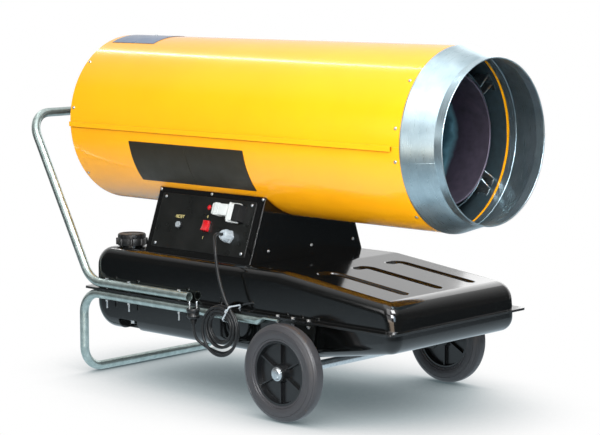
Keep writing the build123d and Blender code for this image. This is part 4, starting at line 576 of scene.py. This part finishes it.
def soften(bm: bmesh.types.BMesh, edge: float, segments: int = 2) -> None:
    """Round every edge of a mesh with a few faces."""
    bmesh.ops.bevel(bm, geom=bm.edges[:], offset=edge, offset_type="OFFSET", segments=segments,
                    profile=0.5, affect="EDGES", material=-1)


def block(size: tuple[float, float, float], place: Matrix, edge: float,
          segments: int = 2) -> bmesh.types.BMesh:
    """Box with rounded edges, its middle at the local origin.

    Args:
        size: length along each local axis.
        place: where it goes.
        edge: edge radius.
        segments: faces round each edge.

    Returns:
        The mesh.
    """
    bm = bmesh.new()
    bmesh.ops.create_cube(bm, size=1.0)
    bmesh.ops.scale(bm, vec=size, verts=bm.verts)
    soften(bm, edge, segments)
    bmesh.ops.transform(bm, matrix=place, verts=bm.verts)
    return bm


def prism(outline: list[tuple[float, float]], depth: float, place: Matrix, edge: float) -> bmesh.types.BMesh:
    """Straight-sided form with rounded edges.

    Args:
        outline: corners on the local XY plane, in order.
        depth: height along local Z.
        place: where it goes.
        edge: edge radius.

    Returns:
        The mesh.
    """
    bm = bmesh.new()
    bottom = bm.faces.new([bm.verts.new((x, y, 0)) for x, y in outline])
    grown = bmesh.ops.extrude_face_region(bm, geom=[bottom])
    raised = [item for item in grown["geom"] if isinstance(item, bmesh.types.BMVert)]
    bmesh.ops.translate(bm, vec=(0, 0, depth), verts=raised)
    bmesh.ops.recalc_face_normals(bm, faces=bm.faces)
    soften(bm, edge)
    bmesh.ops.transform(bm, matrix=place, verts=bm.verts)
    return bm


def join(parts: list[bmesh.types.BMesh]) -> bmesh.types.BMesh:
    """Put several meshes into the first one.

    Args:
        parts: the meshes; all but the first are freed.

    Returns:
        The first mesh.
    """
    first = parts[0]
    for part in parts[1:]:
        passing = bpy.data.meshes.new("passing")
        part.to_mesh(passing)
        first.from_mesh(passing)
        bpy.data.meshes.remove(passing)
        part.free()
    return first


def lettering(words: str, size: float, place: Matrix, depth: float) -> bmesh.types.BMesh:
    """Raised lettering as a mesh, centred on the local origin.

    Args:
        words: generic words or marks.
        size: letter height.
        place: where it goes.
        depth: thickness.

    Returns:
        The mesh.
    """
    text = bpy.data.curves.new("print", "FONT")
    text.body, text.size, text.extrude = words, size, depth
    text.align_x, text.align_y = "CENTER", "CENTER"
    holder = bpy.data.objects.new("print", text)
    mesh = bpy.data.meshes.new_from_object(holder)
    bm = bmesh.new()
    bm.from_mesh(mesh)
    bmesh.ops.transform(bm, matrix=place, verts=bm.verts)
    bpy.data.objects.remove(holder)
    bpy.data.meshes.remove(mesh)
    bpy.data.curves.remove(text)
    return bm


# ------------------------------------------------------------------ studio
@dataclass
class Studio:
    """Camera, lamps, world and floor."""

    lens: float = 116.74  # millimetres on a 36 mm sensor
    azimuth: float = -47.231
    elevation: float = 7.121
    distance: float = 4.8824
    aim: Vector = field(default_factory=lambda: Vector((-0.26751, AXLE_Y, 0.51205)))
    backdrop: tuple[float, float, float] = (0.73, 0.67, 0.1)  # way from the object to the white backdrop
    shadow_reach: float = 0.62  # how far the object darkens the floor

    def camera(self) -> None:
        """Set the camera at the photograph's angle."""
        a, e = math.radians(self.azimuth), math.radians(self.elevation)
        back = Vector((math.sin(a) * math.cos(e), -math.cos(a) * math.cos(e), math.sin(e)))
        data = bpy.data.cameras.new("camera")
        data.lens, data.sensor_width = self.lens, 36.0
        data.clip_start, data.clip_end = 0.1, 100
        seen = bpy.data.objects.new("camera", data)
        seen.location = self.aim + back * self.distance
        seen.rotation_mode = "QUATERNION"
        seen.rotation_quaternion = (-back).to_track_quat("-Z", "Y")
        bpy.context.scene.collection.objects.link(seen)
        bpy.context.scene.camera = seen

    def lamp(self, name: str, place: tuple[float, float, float], target: tuple[float, float, float],
             size: tuple[float, float], power: float, tint: str = "#ffffff") -> None:
        """Add a soft rectangular lamp.

        Args:
            name: the lamp's name.
            place: where it stands.
            target: what it faces.
            size: its width and height.
            power: watts.
            tint: its colour.
        """
        data = bpy.data.lights.new(name, "AREA")
        data.shape, data.size, data.size_y = "RECTANGLE", *size
        data.energy, data.color = power, linear(tint)[:3]
        lamp = bpy.data.objects.new(name, data)
        lamp.location = place
        way = Vector(target) - Vector(place)
        lamp.rotation_mode = "QUATERNION"
        lamp.rotation_quaternion = way.to_track_quat("-Z", "Y")
        bpy.context.scene.collection.objects.link(lamp)

    def lamps(self) -> None:
        """Boxes beside the camera and above, a strip along the barrel and a cool box at the mouth."""
        self.lamp("key", (-3.0, -3.0, 2.0), (0, -0.2, 0.5), (1.4, 1.0), 124)
        self.lamp("top_front", (-1.0, -2.4, 3.0), (0, -0.3, 0.75), (1.6, 1.2), 102)
        self.lamp("panel_side", (-2.8, -1.1, 2.9), (0, -0.1, 0.6), (1.4, 2.4), 30)
        self.lamp("camera_side", (-3.9, -1.4, 0.9), (0, 0, 0.45), (2.8, 1.5), 18)
        self.lamp("rear_side", (-3.4, 1.2, 1.6), (0, 0, 0.6), (1.2, 1.2), 9)
        self.lamp("overhead", (-0.7, -0.2, 3.4), (-0.1, 0, 0.6), (2.2, 3.0), 18)
        self.lamp("strip", (0.42, 2.43, 3.3), (-0.14, 0, 0.89), (0.09, 2.4), 11)
        self.lamp("mouth", (-1.7, -3.0, 1.2), (0.1, -0.4, 0.7), (0.9, 1.2), 16, "#d6ecff")
        self.lamp("low", (-2.6, -1.6, 0.25), (0, 0, 0.7), (2.4, 0.4), 9, "#ffe6cc")
        self.lamp("far_side", (3.2, 0.6, 1.8), (0, 0, 0.5), (2.0, 2.4), 22)

    def world(self) -> None:
        """White backdrop behind and above the object, and the dim side of the studio it is seen from."""
        world = bpy.data.worlds.new("surround")
        bpy.context.scene.world = world
        world.use_nodes = True
        tree = world.node_tree
        tree.nodes.clear()
        way = node(tree, "ShaderNodeTexCoord").outputs["Generated"]
        towards = node(tree, "ShaderNodeVectorMath", {0: way, 1: self.backdrop}, operation="DOT_PRODUCT")
        behind = node(tree, "ShaderNodeMapRange",
                      {"Value": towards.outputs["Value"], "From Min": 0.2, "From Max": 0.7})
        height = node(tree, "ShaderNodeSeparateXYZ", {0: way}).outputs["Z"]
        above = node(tree, "ShaderNodeMapRange", {"Value": height, "From Min": 0.45, "From Max": 0.85})
        bright = node(tree, "ShaderNodeMath", {0: behind.outputs[0], 1: above.outputs[0]},
                      operation="MAXIMUM")
        mirrored = node(tree, "ShaderNodeMapRange",
                        {"Value": bright.outputs[0], "To Min": 0.09, "To Max": 0.9})
        ray = node(tree, "ShaderNodeLightPath").outputs
        unseen = node(tree, "ShaderNodeMix", {"Factor": ray["Is Glossy Ray"], 2: 0.2, 3: mirrored.outputs[0]})
        seen = node(tree, "ShaderNodeMath", {0: ray["Is Camera Ray"], 1: ray["Is Transmission Ray"]},
                    operation="MAXIMUM")
        strength = node(tree, "ShaderNodeMix", {"Factor": seen.outputs[0], 2: unseen.outputs[0], 3: 1.0})
        light = node(tree, "ShaderNodeBackground",
                     {"Color": linear("#ffffff"), "Strength": strength.outputs[0]})
        node(tree, "ShaderNodeOutputWorld", {"Surface": light.outputs[0]})

    def floor(self) -> None:
        """White paper with the object's soft shadow; in reflections pale near it and dim further off."""
        bm = bmesh.new()
        bmesh.ops.create_grid(bm, x_segments=1, y_segments=1, size=14)
        mesh = bpy.data.meshes.new("floor")
        bm.to_mesh(mesh)
        bm.free()
        sheet = bpy.data.objects.new("floor", mesh)
        sheet.location.z = -0.0005
        bpy.context.scene.collection.objects.link(sheet)
        paper = bpy.data.materials.new("paper_white")
        paper.use_nodes = True
        tree = paper.node_tree
        tree.nodes.clear()
        nearby = node(tree, "ShaderNodeAmbientOcclusion", {"Distance": self.shadow_reach}, samples=24)
        shadow = node(tree, "ShaderNodeValToRGB", {"Fac": nearby.outputs["AO"]})
        set_stops(shadow.color_ramp, ((0.08, "#4f5c60"), (0.42, "#a9b3b6"), (0.84, "#ffffff")))
        seen = node(tree, "ShaderNodeEmission", {"Color": shadow.outputs[0]}).outputs[0]
        place = node(tree, "ShaderNodeTexCoord").outputs["Object"]
        away = node(tree, "ShaderNodeVectorMath", {0: place}, operation="LENGTH").outputs["Value"]
        dim = node(tree, "ShaderNodeMapRange",
                   {"Value": away, "From Min": 0.7, "From Max": 2.2, "To Min": 1.1, "To Max": 0.08})
        mirrored = node(tree, "ShaderNodeEmission", {"Color": linear("#cfe0ea"), "Strength": dim.outputs[0]})
        matt = node(tree, "ShaderNodeBsdfDiffuse", {"Color": linear("#dfe3e4")}).outputs[0]
        ray = node(tree, "ShaderNodeLightPath").outputs
        unseen = node(tree, "ShaderNodeMixShader",
                      {0: ray["Is Glossy Ray"], 1: matt, 2: mirrored.outputs[0]}).outputs[0]
        whole = node(tree, "ShaderNodeMixShader", {0: ray["Is Camera Ray"], 1: unseen, 2: seen}).outputs[0]
        node(tree, "ShaderNodeOutputMaterial", {"Surface": whole})
        mesh.materials.append(paper)

    def build(self) -> None:
        """Set up the whole studio."""
        bpy.context.scene.view_settings.view_transform = "Standard"
        self.camera()
        self.lamps()
        self.world()
        self.floor()
        log.info("studio ready")


# ------------------------------------------------------------------ supply cord
@dataclass
class SupplyCord(Assembly):
    """Mains cord: drop from the gland, tied coil, tail and two-pin plug."""

    radius: float = 0.004
    gland_mouth: float = 0.023  # from the panel's front to where the cord comes out
    drop: tuple[tuple[float, float, float], ...] = (
        (-0.288, 0.283, 0.415), (-0.291, 0.2755, 0.372), (-0.2925, 0.2645, 0.328))  # y from the axle
    coil_radius: float = 0.066
    coil_turns: float = 5 + 145 / 360
    turn_back: float = 3.0  # turns wound inwards before the second layer comes back out
    overlap: float = 0.12  # turns by which the second layer ends further out
    pitch_tied: float = 0.0087  # distance between turns at the tie
    pitch_loose: float = 0.0125  # and opposite it, where nothing holds them
    layer_gap: float = 0.0092  # between the middles of the two layers
    layers_x: float = -0.2856  # middle between the two layers
    centre_y: float = AXLE_Y + 0.268
    centre_z: float = 0.198
    start_angle: float = 40.0  # degrees, where the cord enters the coil
    tie_angle: float = 56.0  # where the tie holds it
    slack: float = 0.011  # how far the first turn hangs out
    slack_turns: float = 0.75
    marks_per_turn: int = 16
    pin_half: float = 0.0095  # half the distance between the plug's pins
    pin_turn: float = -47.0  # degrees by which they stand across the plug

    def coil_place(self, done: float) -> Vector:
        """Point on the coil's line.

        Args:
            done: turns from its start.

        Returns:
            The point, in metres.
        """
        angle = math.radians(self.start_angle) - math.tau * done
        # The cord changes layer over half a turn, a quarter each side of the turn-back.
        climb = min(max(done - self.turn_back + 0.25, 0), 0.5)
        layer = (1 - math.cos(math.tau * climb)) / 2
        count = done
        if done > self.turn_back:
            share = (self.coil_turns - done) / (self.coil_turns - self.turn_back)
            count = (self.turn_back + self.overlap) * share - self.overlap
        tied = math.cos(angle - math.radians(self.tie_angle))
        pitch = (self.pitch_tied + self.pitch_loose) / 2 - (self.pitch_loose - self.pitch_tied) / 2 * tied
        sag = self.slack * math.sin(math.pi * min(done, self.slack_turns) / self.slack_turns) ** 2
        radius = self.coil_radius + sag - pitch * count
        x = self.layers_x - self.layer_gap / 2 + self.layer_gap * layer
        return Vector((x, self.centre_y - radius * math.cos(angle), self.centre_z + radius * math.sin(angle)))

    def route(self) -> list[Vector]:
        """Control points of the whole cord, from the gland to the plug.

        Returns:
            The points, in metres.
        """
        mouth = on_panel(*GLAND, PANEL_SHEET + self.gland_mouth)
        points = [mouth, mouth + PANEL_OUT * 0.036]
        points += [Vector((x, AXLE_Y + y, z)) for x, y, z in self.drop]
        # The lead-in and the lead-out run on straight from the coil's two ends.
        enter = (self.coil_place(0.001) - self.coil_place(0)).normalized()
        leave = (self.coil_place(self.coil_turns) - self.coil_place(self.coil_turns - 0.001)).normalized()
        points.append(self.coil_place(0) - enter * 0.042)
        count = round(self.coil_turns * self.marks_per_turn)
        points += [self.coil_place(self.coil_turns * i / count) for i in range(count + 1)]
        points.append(self.coil_place(self.coil_turns) + leave * 0.045)
        points += [PLUG_FOOT - Vector((0, 0, 0.034)), PLUG_FOOT]
        return points

    def cord(self, plug: bpy.types.Object) -> None:
        """Args:
            plug: the piece at its end; not used.
        """
        points = self.route()
        data = bpy.data.curves.new("supply_cord", "CURVE")
        data.dimensions = "3D"
        line = data.splines.new("NURBS")
        line.points.add(len(points) - 1)
        for control, point in zip(line.points, points):
            control.co = (*point, 1.0)
        line.order_u = 3
        line.use_endpoint_u = True
        line.resolution_u = 6
        data.bevel_depth = self.radius
        data.bevel_resolution = 5
        data.use_fill_caps = True
        data.materials.append(Finish.CORD.material())
        piece = bpy.data.objects.new("supply_cord", data)
        bpy.context.scene.collection.objects.link(piece)
        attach(piece, self.body)
        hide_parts("cord_drop", "cord_coil", "cord_tail")
        log.info("made supply_cord: %d points", len(points))

    def plug(self) -> bpy.types.Object:
        """Moulded two-pin plug, pins up, with grip ridges and a ribbed strain relief.

        Returns:
            The plug's body.
        """
        foot = Matrix.Translation(PLUG_FOOT)
        relief = []
        for rib in range(4):
            z = 0.0005 + rib * 0.0033
            r = 0.0062 + rib * 0.0011
            relief += [(r, z), (r + 0.0008, z + 0.0004), (r + 0.0008, z + 0.0018), (r, z + 0.0022)]
        body = turned([(0, 0), (0.0058, 0)] + relief + [
            (0.0112, 0.0142), (0.0158, 0.0165), (0.0172, 0.0195), (0.0174, 0.0225), (0.0162, 0.0245),
            (0.0162, 0.0315), (0.0176, 0.0335), (0.018, 0.036), (0.018, 0.0405), (0.0172, 0.042), (0, 0.042)],
            foot, 40)
        piece = self.keep("plug_body", body, Finish.BLACK_ABS, "black_plastic", stands_for=("plug",))
        pin = [(0, 0), (0.0024, 0), (0.0024, 0.0178), (0.0018, 0.0193), (0, 0.0195)]
        pins = []
        turn = math.radians(self.pin_turn)
        for side in (-1, 1):
            across = Vector((math.cos(turn), math.sin(turn), 0)) * self.pin_half * side
            at = foot @ Matrix.Translation(across + Vector((0, 0, 0.0415)))
            pins.append(turned(pin, at, 20))
        self.keep("plug_pins", join(pins), Finish.BOLT_ZINC, "zinc")
        return piece

    def build(self) -> None:
        """Make the cord and what is on it."""
        self.cord(self.plug())
        self.dress(Finish.GREY_NYLON, "cable_tie")


# ------------------------------------------------------------------ wheels
class Side(Enum):
    """Side of the object, by the sign of its X."""

    LEFT = -1
    RIGHT = 1


@dataclass
class Wheels(Assembly):
    """Two solid-tyred wheels on a plain axle."""

    track: float = 0.658  # between the wheels' middles
    radius: float = 0.125
    width: float = 0.048
    rim_radius: float = 0.082
    cap_out: float = 0.0236  # from a wheel's middle out to its hub cap

    def on_axle(self, side: Side, out: float) -> Matrix:
        """Matrix onto the axle's line.

        Args:
            side: which wheel.
            out: metres outwards from the wheel's middle.

        Returns:
            The placing matrix, Z outwards.
        """
        at = Vector((side.value * (self.track / 2 + out), AXLE_Y, self.radius))
        return frame_of(at, Vector((side.value, 0, 0)), Vector((0, 0, 1)))

    def tyre(self, side: Side) -> None:
        """Tyre with two shoulder grooves and moulded rings on its wall.

        Args:
            side: which wheel.
        """
        name, half = side.name.lower(), self.width / 2
        wall = [(self.rim_radius, half - 0.0065), (self.rim_radius + 0.0015, half - 0.004),
                (0.0875, half - 0.0028), (0.0885, half - 0.0036), (0.0895, half - 0.0022),
                (0.096, half - 0.0002), (0.102, half), (0.108, half - 0.0004), (0.1085, half - 0.0012),
                (0.1095, half - 0.0012), (0.110, half - 0.0006), (0.1155, half - 0.003),
                (0.1185, half - 0.0052), (0.1184, half - 0.0066), (0.1205, half - 0.0076),
                (0.1228, half - 0.0110), (0.1226, half - 0.0122), (0.1240, half - 0.0135),
                (0.1249, half - 0.0185)]
        seat = [(self.rim_radius, 0)]
        profile = seat + wall + [(self.radius, 0)] + [(r, -z) for r, z in reversed(wall)] + seat
        tyre = turned(profile, self.on_axle(side, 0), 96)
        self.keep(f"{name}_tyre_tread", tyre, Finish.TYRE, "tyre_rubber",
                  body=f"{name}_wheel", stands_for=(f"{name}_tyre",))

    def hub_cap(self, side: Side) -> None:
        """Pressed cap with a ring of teeth over the axle's end.

        Args:
            side: which wheel.
        """
        place = self.on_axle(side, self.cap_out)
        parts = [turned([(0.0102, 0), (0.0176, 0), (0.018, 0.0006), (0.0178, 0.0014), (0.0150, 0.0022),
                         (0.0138, 0.0042), (0.0128, 0.0056), (0.0095, 0.0067), (0.005, 0.007), (0, 0.007)],
                        place, 40)]
        for tooth in turns(place, 8, (0.0088, 0, 0.0066)):
            parts.append(block((0.0050, 0.0016, 0.0009), tooth, 0.0003, 1))
        self.keep(f"{side.name.lower()}_hub_cap", join(parts), Finish.BOLT_ZINC, "zinc",
                  stands_for=("hub_caps",))

    def build(self) -> None:
        """Make both wheels."""
        for side in Side:
            self.tyre(side)
            self.hub_cap(side)
        self.dress(Finish.RIM_NYLON, "left_rim", "right_rim")
        self.dress(Finish.BOLT_ZINC, "axle")
        self.dress(Finish.BLACK_POWDER, "axle_brackets")


# ------------------------------------------------------------------ barrel
@dataclass
class Casing(Assembly):
    """Yellow shells, outlet cone, plates and screws."""

    front_inset: float = 0.016  # from the barrel's ends to their rows of screws
    rear_inset: float = 0.012
    front_angles: tuple[float, ...] = (10, 41, 139, 170, -10, -51, -129, -170)  # above the panel side
    rear_angles: tuple[float, ...] = (9, 44, 136, 171, -40, -140)
    hem_radius: float = 0.2075  # middle of the rolled edge
    hem_half: float = 0.0018  # half its thickness
    seam_angle: float = -11.0  # degrees above the panel side
    top_screw: float = 0.8065  # from the axle back to the screw in the top plate

    def screws(self) -> None:
        """Dome-headed cross-recess screws in place of the plain ones."""
        rear, front = BARREL_REAR_Y - self.rear_inset, BARREL_FRONT_Y + self.front_inset
        # Round both ends of the barrel, and one through the plate on its top.
        places = [around_barrel(front, a) for a in self.front_angles]
        places += [around_barrel(rear, a) for a in self.rear_angles]
        places.append(around_barrel(AXLE_Y + self.top_screw, 90, BARREL_R + 0.0013))
        # Across the pedestal's front, along its two upper edges, and at the panel's corners.
        for x in (-0.152, 0.016, 0.185):
            places.append(frame_of(Vector((x, AXLE_Y + 0.220, 0.393)), Vector((0, -1, 0)), Vector((0, 0, 1))))
        for back in (0.617, 0.420, 0.229):
            at = on_panel(PANEL_BACK - back, 0.0853, 0)
            places.append(frame_of(at, PANEL_OUT, PANEL_UP))
            across, out = Vector((-at.x, at.y, at.z)), Vector((-PANEL_OUT.x, 0, PANEL_OUT.z))
            places.append(frame_of(across, out, Vector((0, 1, 0))))
        for x in (-0.164, 0.164):
            for y in (-0.066, 0.066):
                places.append(panel_frame(x, y, PANEL_SHEET))
        dome = [(0, 0.0013), (0.0009, 0.0013), (0.0012, 0.0021), (0.0022, 0.00215), (0.0034, 0.0018),
                (0.0042, 0.0009), (0.0045, 0), (0.002, 0), (0.002, -0.004), (0, -0.004)]
        heads = []
        for index, place in enumerate(places):
            heads.append(turned(dome, place, 18))
            for arm in range(2):
                turn = place @ Matrix.Rotation(0.35 * index + arm * math.pi / 2, 4, "Z")
                slot = turn @ Matrix.Translation((0, 0, 0.0021))
                heads.append(block((0.0046, 0.0007, 0.0004), slot, 0.0001, 1))
        self.keep("screw_heads", join(heads), Finish.BOLT_ZINC, "zinc", stands_for=("casing_screws",))

    def collar_hem(self) -> None:
        """Rolled edge round the outlet collar's mouth."""
        half = self.hem_half
        angles = [math.tau * step / 12 for step in range(13)]
        ring = [(self.hem_radius + half * math.cos(a), half + half * math.sin(a)) for a in angles]
        place = frame_of(Vector((0, OUTLET_Y, AXIS_Z)), Vector((0, 1, 0)), Vector((0, 0, 1)))
        self.keep("collar_hem", turned(ring, place, 160), Finish.CONE_ZINC, "galvanised")

    def cone_seam(self) -> None:
        """Seam weld down the taper on the panel side, below the axis."""
        angle = math.radians(self.seam_angle)
        out = Vector((-math.cos(angle), 0, math.sin(angle)))
        # Both ends lie just proud of the cone's skin.
        start = Vector((0, BARREL_FRONT_Y - 0.0036, AXIS_Z)) + out * 0.2364
        end = Vector((0, OUTLET_Y + 0.0252, AXIS_Z)) + out * 0.2087
        run = end - start
        place = frame_of((start + end) / 2, run.cross(out).cross(run), run)
        weld = block((0.0024, run.length, 0.0007), place, 0.0003)
        self.keep("cone_seam", weld, Finish.CONE_ZINC, "galvanised")

    def build(self) -> None:
        """Dress the casing."""
        self.dress(Finish.YELLOW_POWDER, "upper_shell")
        # The lower shell carries the painted shade, a brown line under the upper shell's lip.
        self.dress(Finish.YELLOW_PAINTED_SHADE, "lower_shell")
        self.dress(Finish.CONE_ZINC, "outlet_cone")
        self.dress(Finish.PLATE_BLACK, "side_plates")
        # The top plate's blue grey is a painted reflection of the room.
        self.dress(Finish.PLATE_PAINTED_REFLECTION, "top_plate")
        self.collar_hem()
        self.cone_seam()
        self.screws()


@dataclass
class HotEnd(Assembly):
    """Liner, shield, chamber and burner."""

    def build(self) -> None:
        """Dress the hot parts."""
        self.dress(Finish.LINER_STEEL, "inner_liner")
        self.dress(Finish.INNER_ZINC, "chamber_shield", "blast_tube", "air_diffuser")
        self.dress(Finish.BOLT_ZINC, "chamber_clips", "chamber_brackets")
        self.dress(Finish.HOT_STEEL, "combustion_chamber")
        self.dress(Finish.BRASS, "nozzle_holder")
        self.dress(Finish.GLAZED, "ignition_electrodes")


@dataclass
class AirEnd(Assembly):
    """Fan, motor, pump and inlet guard."""

    def build(self) -> None:
        """Dress the parts behind the burner."""
        self.dress(Finish.CAST_ALUMINIUM, "fan", "fuel_pump")
        self.dress(Finish.MOTOR_PAINT, "fan_motor")
        self.dress(Finish.BLACK_POWDER, "motor_bracket", "inlet_guard")
        self.dress(Finish.BOLT_ZINC, "motor_shaft", "nozzle_pipe")
        self.dress(Finish.BLACK_ABS, "pump_coupling", "suction_hose")


@dataclass
class Pedestal(Assembly):
    """Housing between barrel and tank, with the controls on its panel."""

    gland_corner: float = 0.0195  # middle to corner of the gland's foot
    plug_row: float = 0.038  # the link plug's head up the slope
    plug_height: float = 0.015  # its middle over the housing's wall
    rocker_tilt: float = 9.0  # degrees at rest
    rocker_long: float = 0.0224

    def letters(self) -> None:
        """Generic word and switch marks printed on the panel."""
        marks = (("RESET", 0.0125, -0.092, 0.014), ("0", 0.011, 0.012, 0.022), ("I", 0.011, 0.012, -0.0365))
        prints = [lettering(words, size, panel_frame(x, y, 0.0021), 0.00005) for words, size, x, y in marks]
        self.keep("panel_print", join(prints), Finish.PRINT_CREAM, "white_plastic", smooth=False)

    def gland(self) -> None:
        """Six-sided foot and fluted domed cap, open where the cord comes out."""
        place = panel_frame(*GLAND, PANEL_SHEET)
        angles = [math.tau * i / 6 for i in range(6)]
        corners = [(self.gland_corner * math.cos(a), self.gland_corner * math.sin(a)) for a in angles]
        parts = [prism(corners, 0.007, place, 0.0008)]
        parts.append(turned([
            (0.0, 0.0065), (0.0155, 0.0065), (0.0168, 0.0076), (0.0168, 0.0102), (0.0160, 0.0150),
            (0.0146, 0.0210), (0.0132, 0.0262), (0.0112, 0.0284), (0.0082, 0.0290), (0.0052, 0.0288),
            (0.0042, 0.0278), (0.0042, 0.0205), (0.0, 0.0205)], place, 48))
        for turn in turns(place, 12, (0.0155, 0, 0.0158)):
            lean = turn @ Matrix.Rotation(math.radians(-12), 4, "Y")
            parts.append(block((0.0022, 0.0026, 0.0125), lean, 0.0006))
        self.keep("gland_body", join(parts), Finish.GREY_NYLON, "grey_plastic", stands_for=("cable_gland",))

    def link_plug(self) -> None:
        """White link plug: body, taller head and the two levers that hook over the socket."""
        row = self.plug_row
        parts = [self.white_block(0.0416, 0.1006, 0.043, 0.032, 0.022, 0.004)]
        parts.append(self.white_block(0.0996, 0.1236, row, 0.046, 0.024, 0.004))
        for x in (0.052, 0.058, 0.064):  # grip ribs
            parts.append(self.white_block(x, x + 0.003, 0.043, 0.0336, 0.0236, 0.0006))
        for sign in (-1, 1):  # levers
            parts.append(self.white_block(0.1052, 0.1372, row + sign * 0.0249, 0.003, 0.0115, 0.001))
        parts.append(self.white_block(0.1052, 0.1092, row, 0.0528, 0.0255, 0.001))
        pin = [(0, 0), (0.002, 0), (0.002, 0.0108), (0.0014, 0.0118), (0, 0.0118)]
        for rise in (-0.014, 0, 0.014):
            at = on_panel(0.1226, row + rise, self.plug_height)
            parts.append(turned(pin, frame_of(at, Vector((0, -1, 0)), PANEL_UP), 16))
        self.keep("link_plug_body", join(parts), Finish.WHITE_ABS, "white_plastic", body="link_plug",
                  stands_for=("thermostat_plug",))

    def white_block(self, start: float, end: float, middle: float, height: float, depth: float,
                    edge: float) -> bmesh.types.BMesh:
        """Block of the link plug between two distances towards the outlet.

        Args:
            start: nearer end along the panel.
            end: further end along the panel.
            middle: place up the slope.
            height: size up the slope.
            depth: size out of the panel.
            edge: edge radius.

        Returns:
            The mesh.
        """
        place = panel_frame((start + end) / 2, middle, self.plug_height)
        return block((end - start, height, depth), place, edge)

    def rocker(self) -> None:
        """Rocker with a dished top and rounded edges."""
        tilt = math.radians(self.rocker_tilt)
        out = PANEL_OUT * math.cos(tilt) + PANEL_UP * math.sin(tilt)
        up = PANEL_UP * math.cos(tilt) - PANEL_OUT * math.sin(tilt)
        pivot = on_panel(0.017, -0.005, PANEL_SHEET - 0.003)
        place = frame_of(pivot + Vector((0, -self.rocker_long / 2, 0)), Vector((0, 1, 0)), out)
        side = 1 if place.col[0].xyz.dot(up) > 0 else -1
        top = [(0.014, 0.013), (0.009, 0.0119), (0.004, 0.0112),
               (-0.004, 0.0112), (-0.009, 0.0119), (-0.014, 0.013)]
        outline = [(side * x, y) for x, y in [(-0.014, -0.003), (0.014, -0.003)] + top]
        cap = prism(outline, self.rocker_long, place, 0.0007)
        self.keep("rocker_cap", cap, Finish.RED_LENS, "red_plastic", body="rocker",
                  stands_for=("rocker_button",))

    def build(self) -> None:
        """Dress the pedestal and its controls."""
        self.dress(Finish.BLACK_ENAMEL, "pedestal_housing", "pedestal_cover")
        self.dress(Finish.BLACK_POWDER, "control_panel")
        self.dress(Finish.BLACK_ABS, "reset_sleeve", "rocker_frame", "thermostat_socket")
        self.dress(Finish.RESET_GREY, "reset_button")
        self.dress(Finish.RED_LENS, "indicator_lamp")
        self.dress(Finish.WHITE_ABS, "fuel_filter")
        self.dress(Finish.MOTOR_PAINT, "ignition_transformer", "flame_controller")
        self.gland()
        self.link_plug()
        self.rocker()
        self.letters()


@dataclass
class Base(Assembly):
    """Fuel tank with its filler, and the tube frame."""

    cap_place: tuple[float, float, float] = (-0.181, AXLE_Y + 0.721, 0.367)  # the cap's underside
    cap_radius: float = 0.040  # to the middle of its knobs

    def cap(self) -> None:
        """Screw cap: knobbed skirt, notched crown and a shallow dish on top."""
        place = Matrix.Translation(self.cap_place)
        parts = [turned([
            (0.0331, 0.018), (0.0331, 0.0), (0.0392, 0.0), (0.0398, 0.0006), (0.0400, 0.0012),
            (0.0400, 0.0186), (0.0392, 0.0198), (0.0385, 0.0202), (0.0385, 0.0286), (0.0380, 0.0306),
            (0.0366, 0.0317), (0.0350, 0.0320), (0.0325, 0.0318), (0.0308, 0.0306), (0.0, 0.0306),
            (0.0, 0.0186), (0.0331, 0.018)], place, 96)]
        knob = [(0, 0.0006), (0.0038, 0.0006), (0.0044, 0.0014), (0.0044, 0.0182),
                (0.0036, 0.0195), (0, 0.0196)]
        for turn in turns(place, 8, (self.cap_radius, 0, 0)):
            parts.append(turned(knob, turn, 20))
        for notch in turns(place, 24, (0.0385, 0, 0.0247), phase=0.5):
            parts.append(block((0.0014, 0.0034, 0.0085), notch, 0.0005))
        self.keep("cap_body", join(parts), Finish.BLACK_ABS, "black_plastic", body="cap",
                  stands_for=("fuel_cap",))

    def build(self) -> None:
        """Dress the tank and the frame."""
        self.dress(Finish.BLACK_ENAMEL, "tank_upper", "tank_lower", "filler_neck")
        self.dress(Finish.BOLT_ZINC, "drain_plug", "frame_bolts", "bracket_bolts", "frame_nuts")
        self.cap()
        self.dress(Finish.TUBE_ZINC, "handle_frame", "leg_frame")


def main() -> None:
    """Build the studio and every assembly in order, logging each one."""
    logging.basicConfig(level=logging.INFO, format="%(name)s: %(message)s")
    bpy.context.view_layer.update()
    Studio().build()
    for assembly in (SupplyCord(), Wheels(), Casing(), HotEnd(), AirEnd(), Pedestal(), Base()):
        assembly.build()
        log.info("%s done", type(assembly).__name__)


if __name__ == "__main__":
    main()
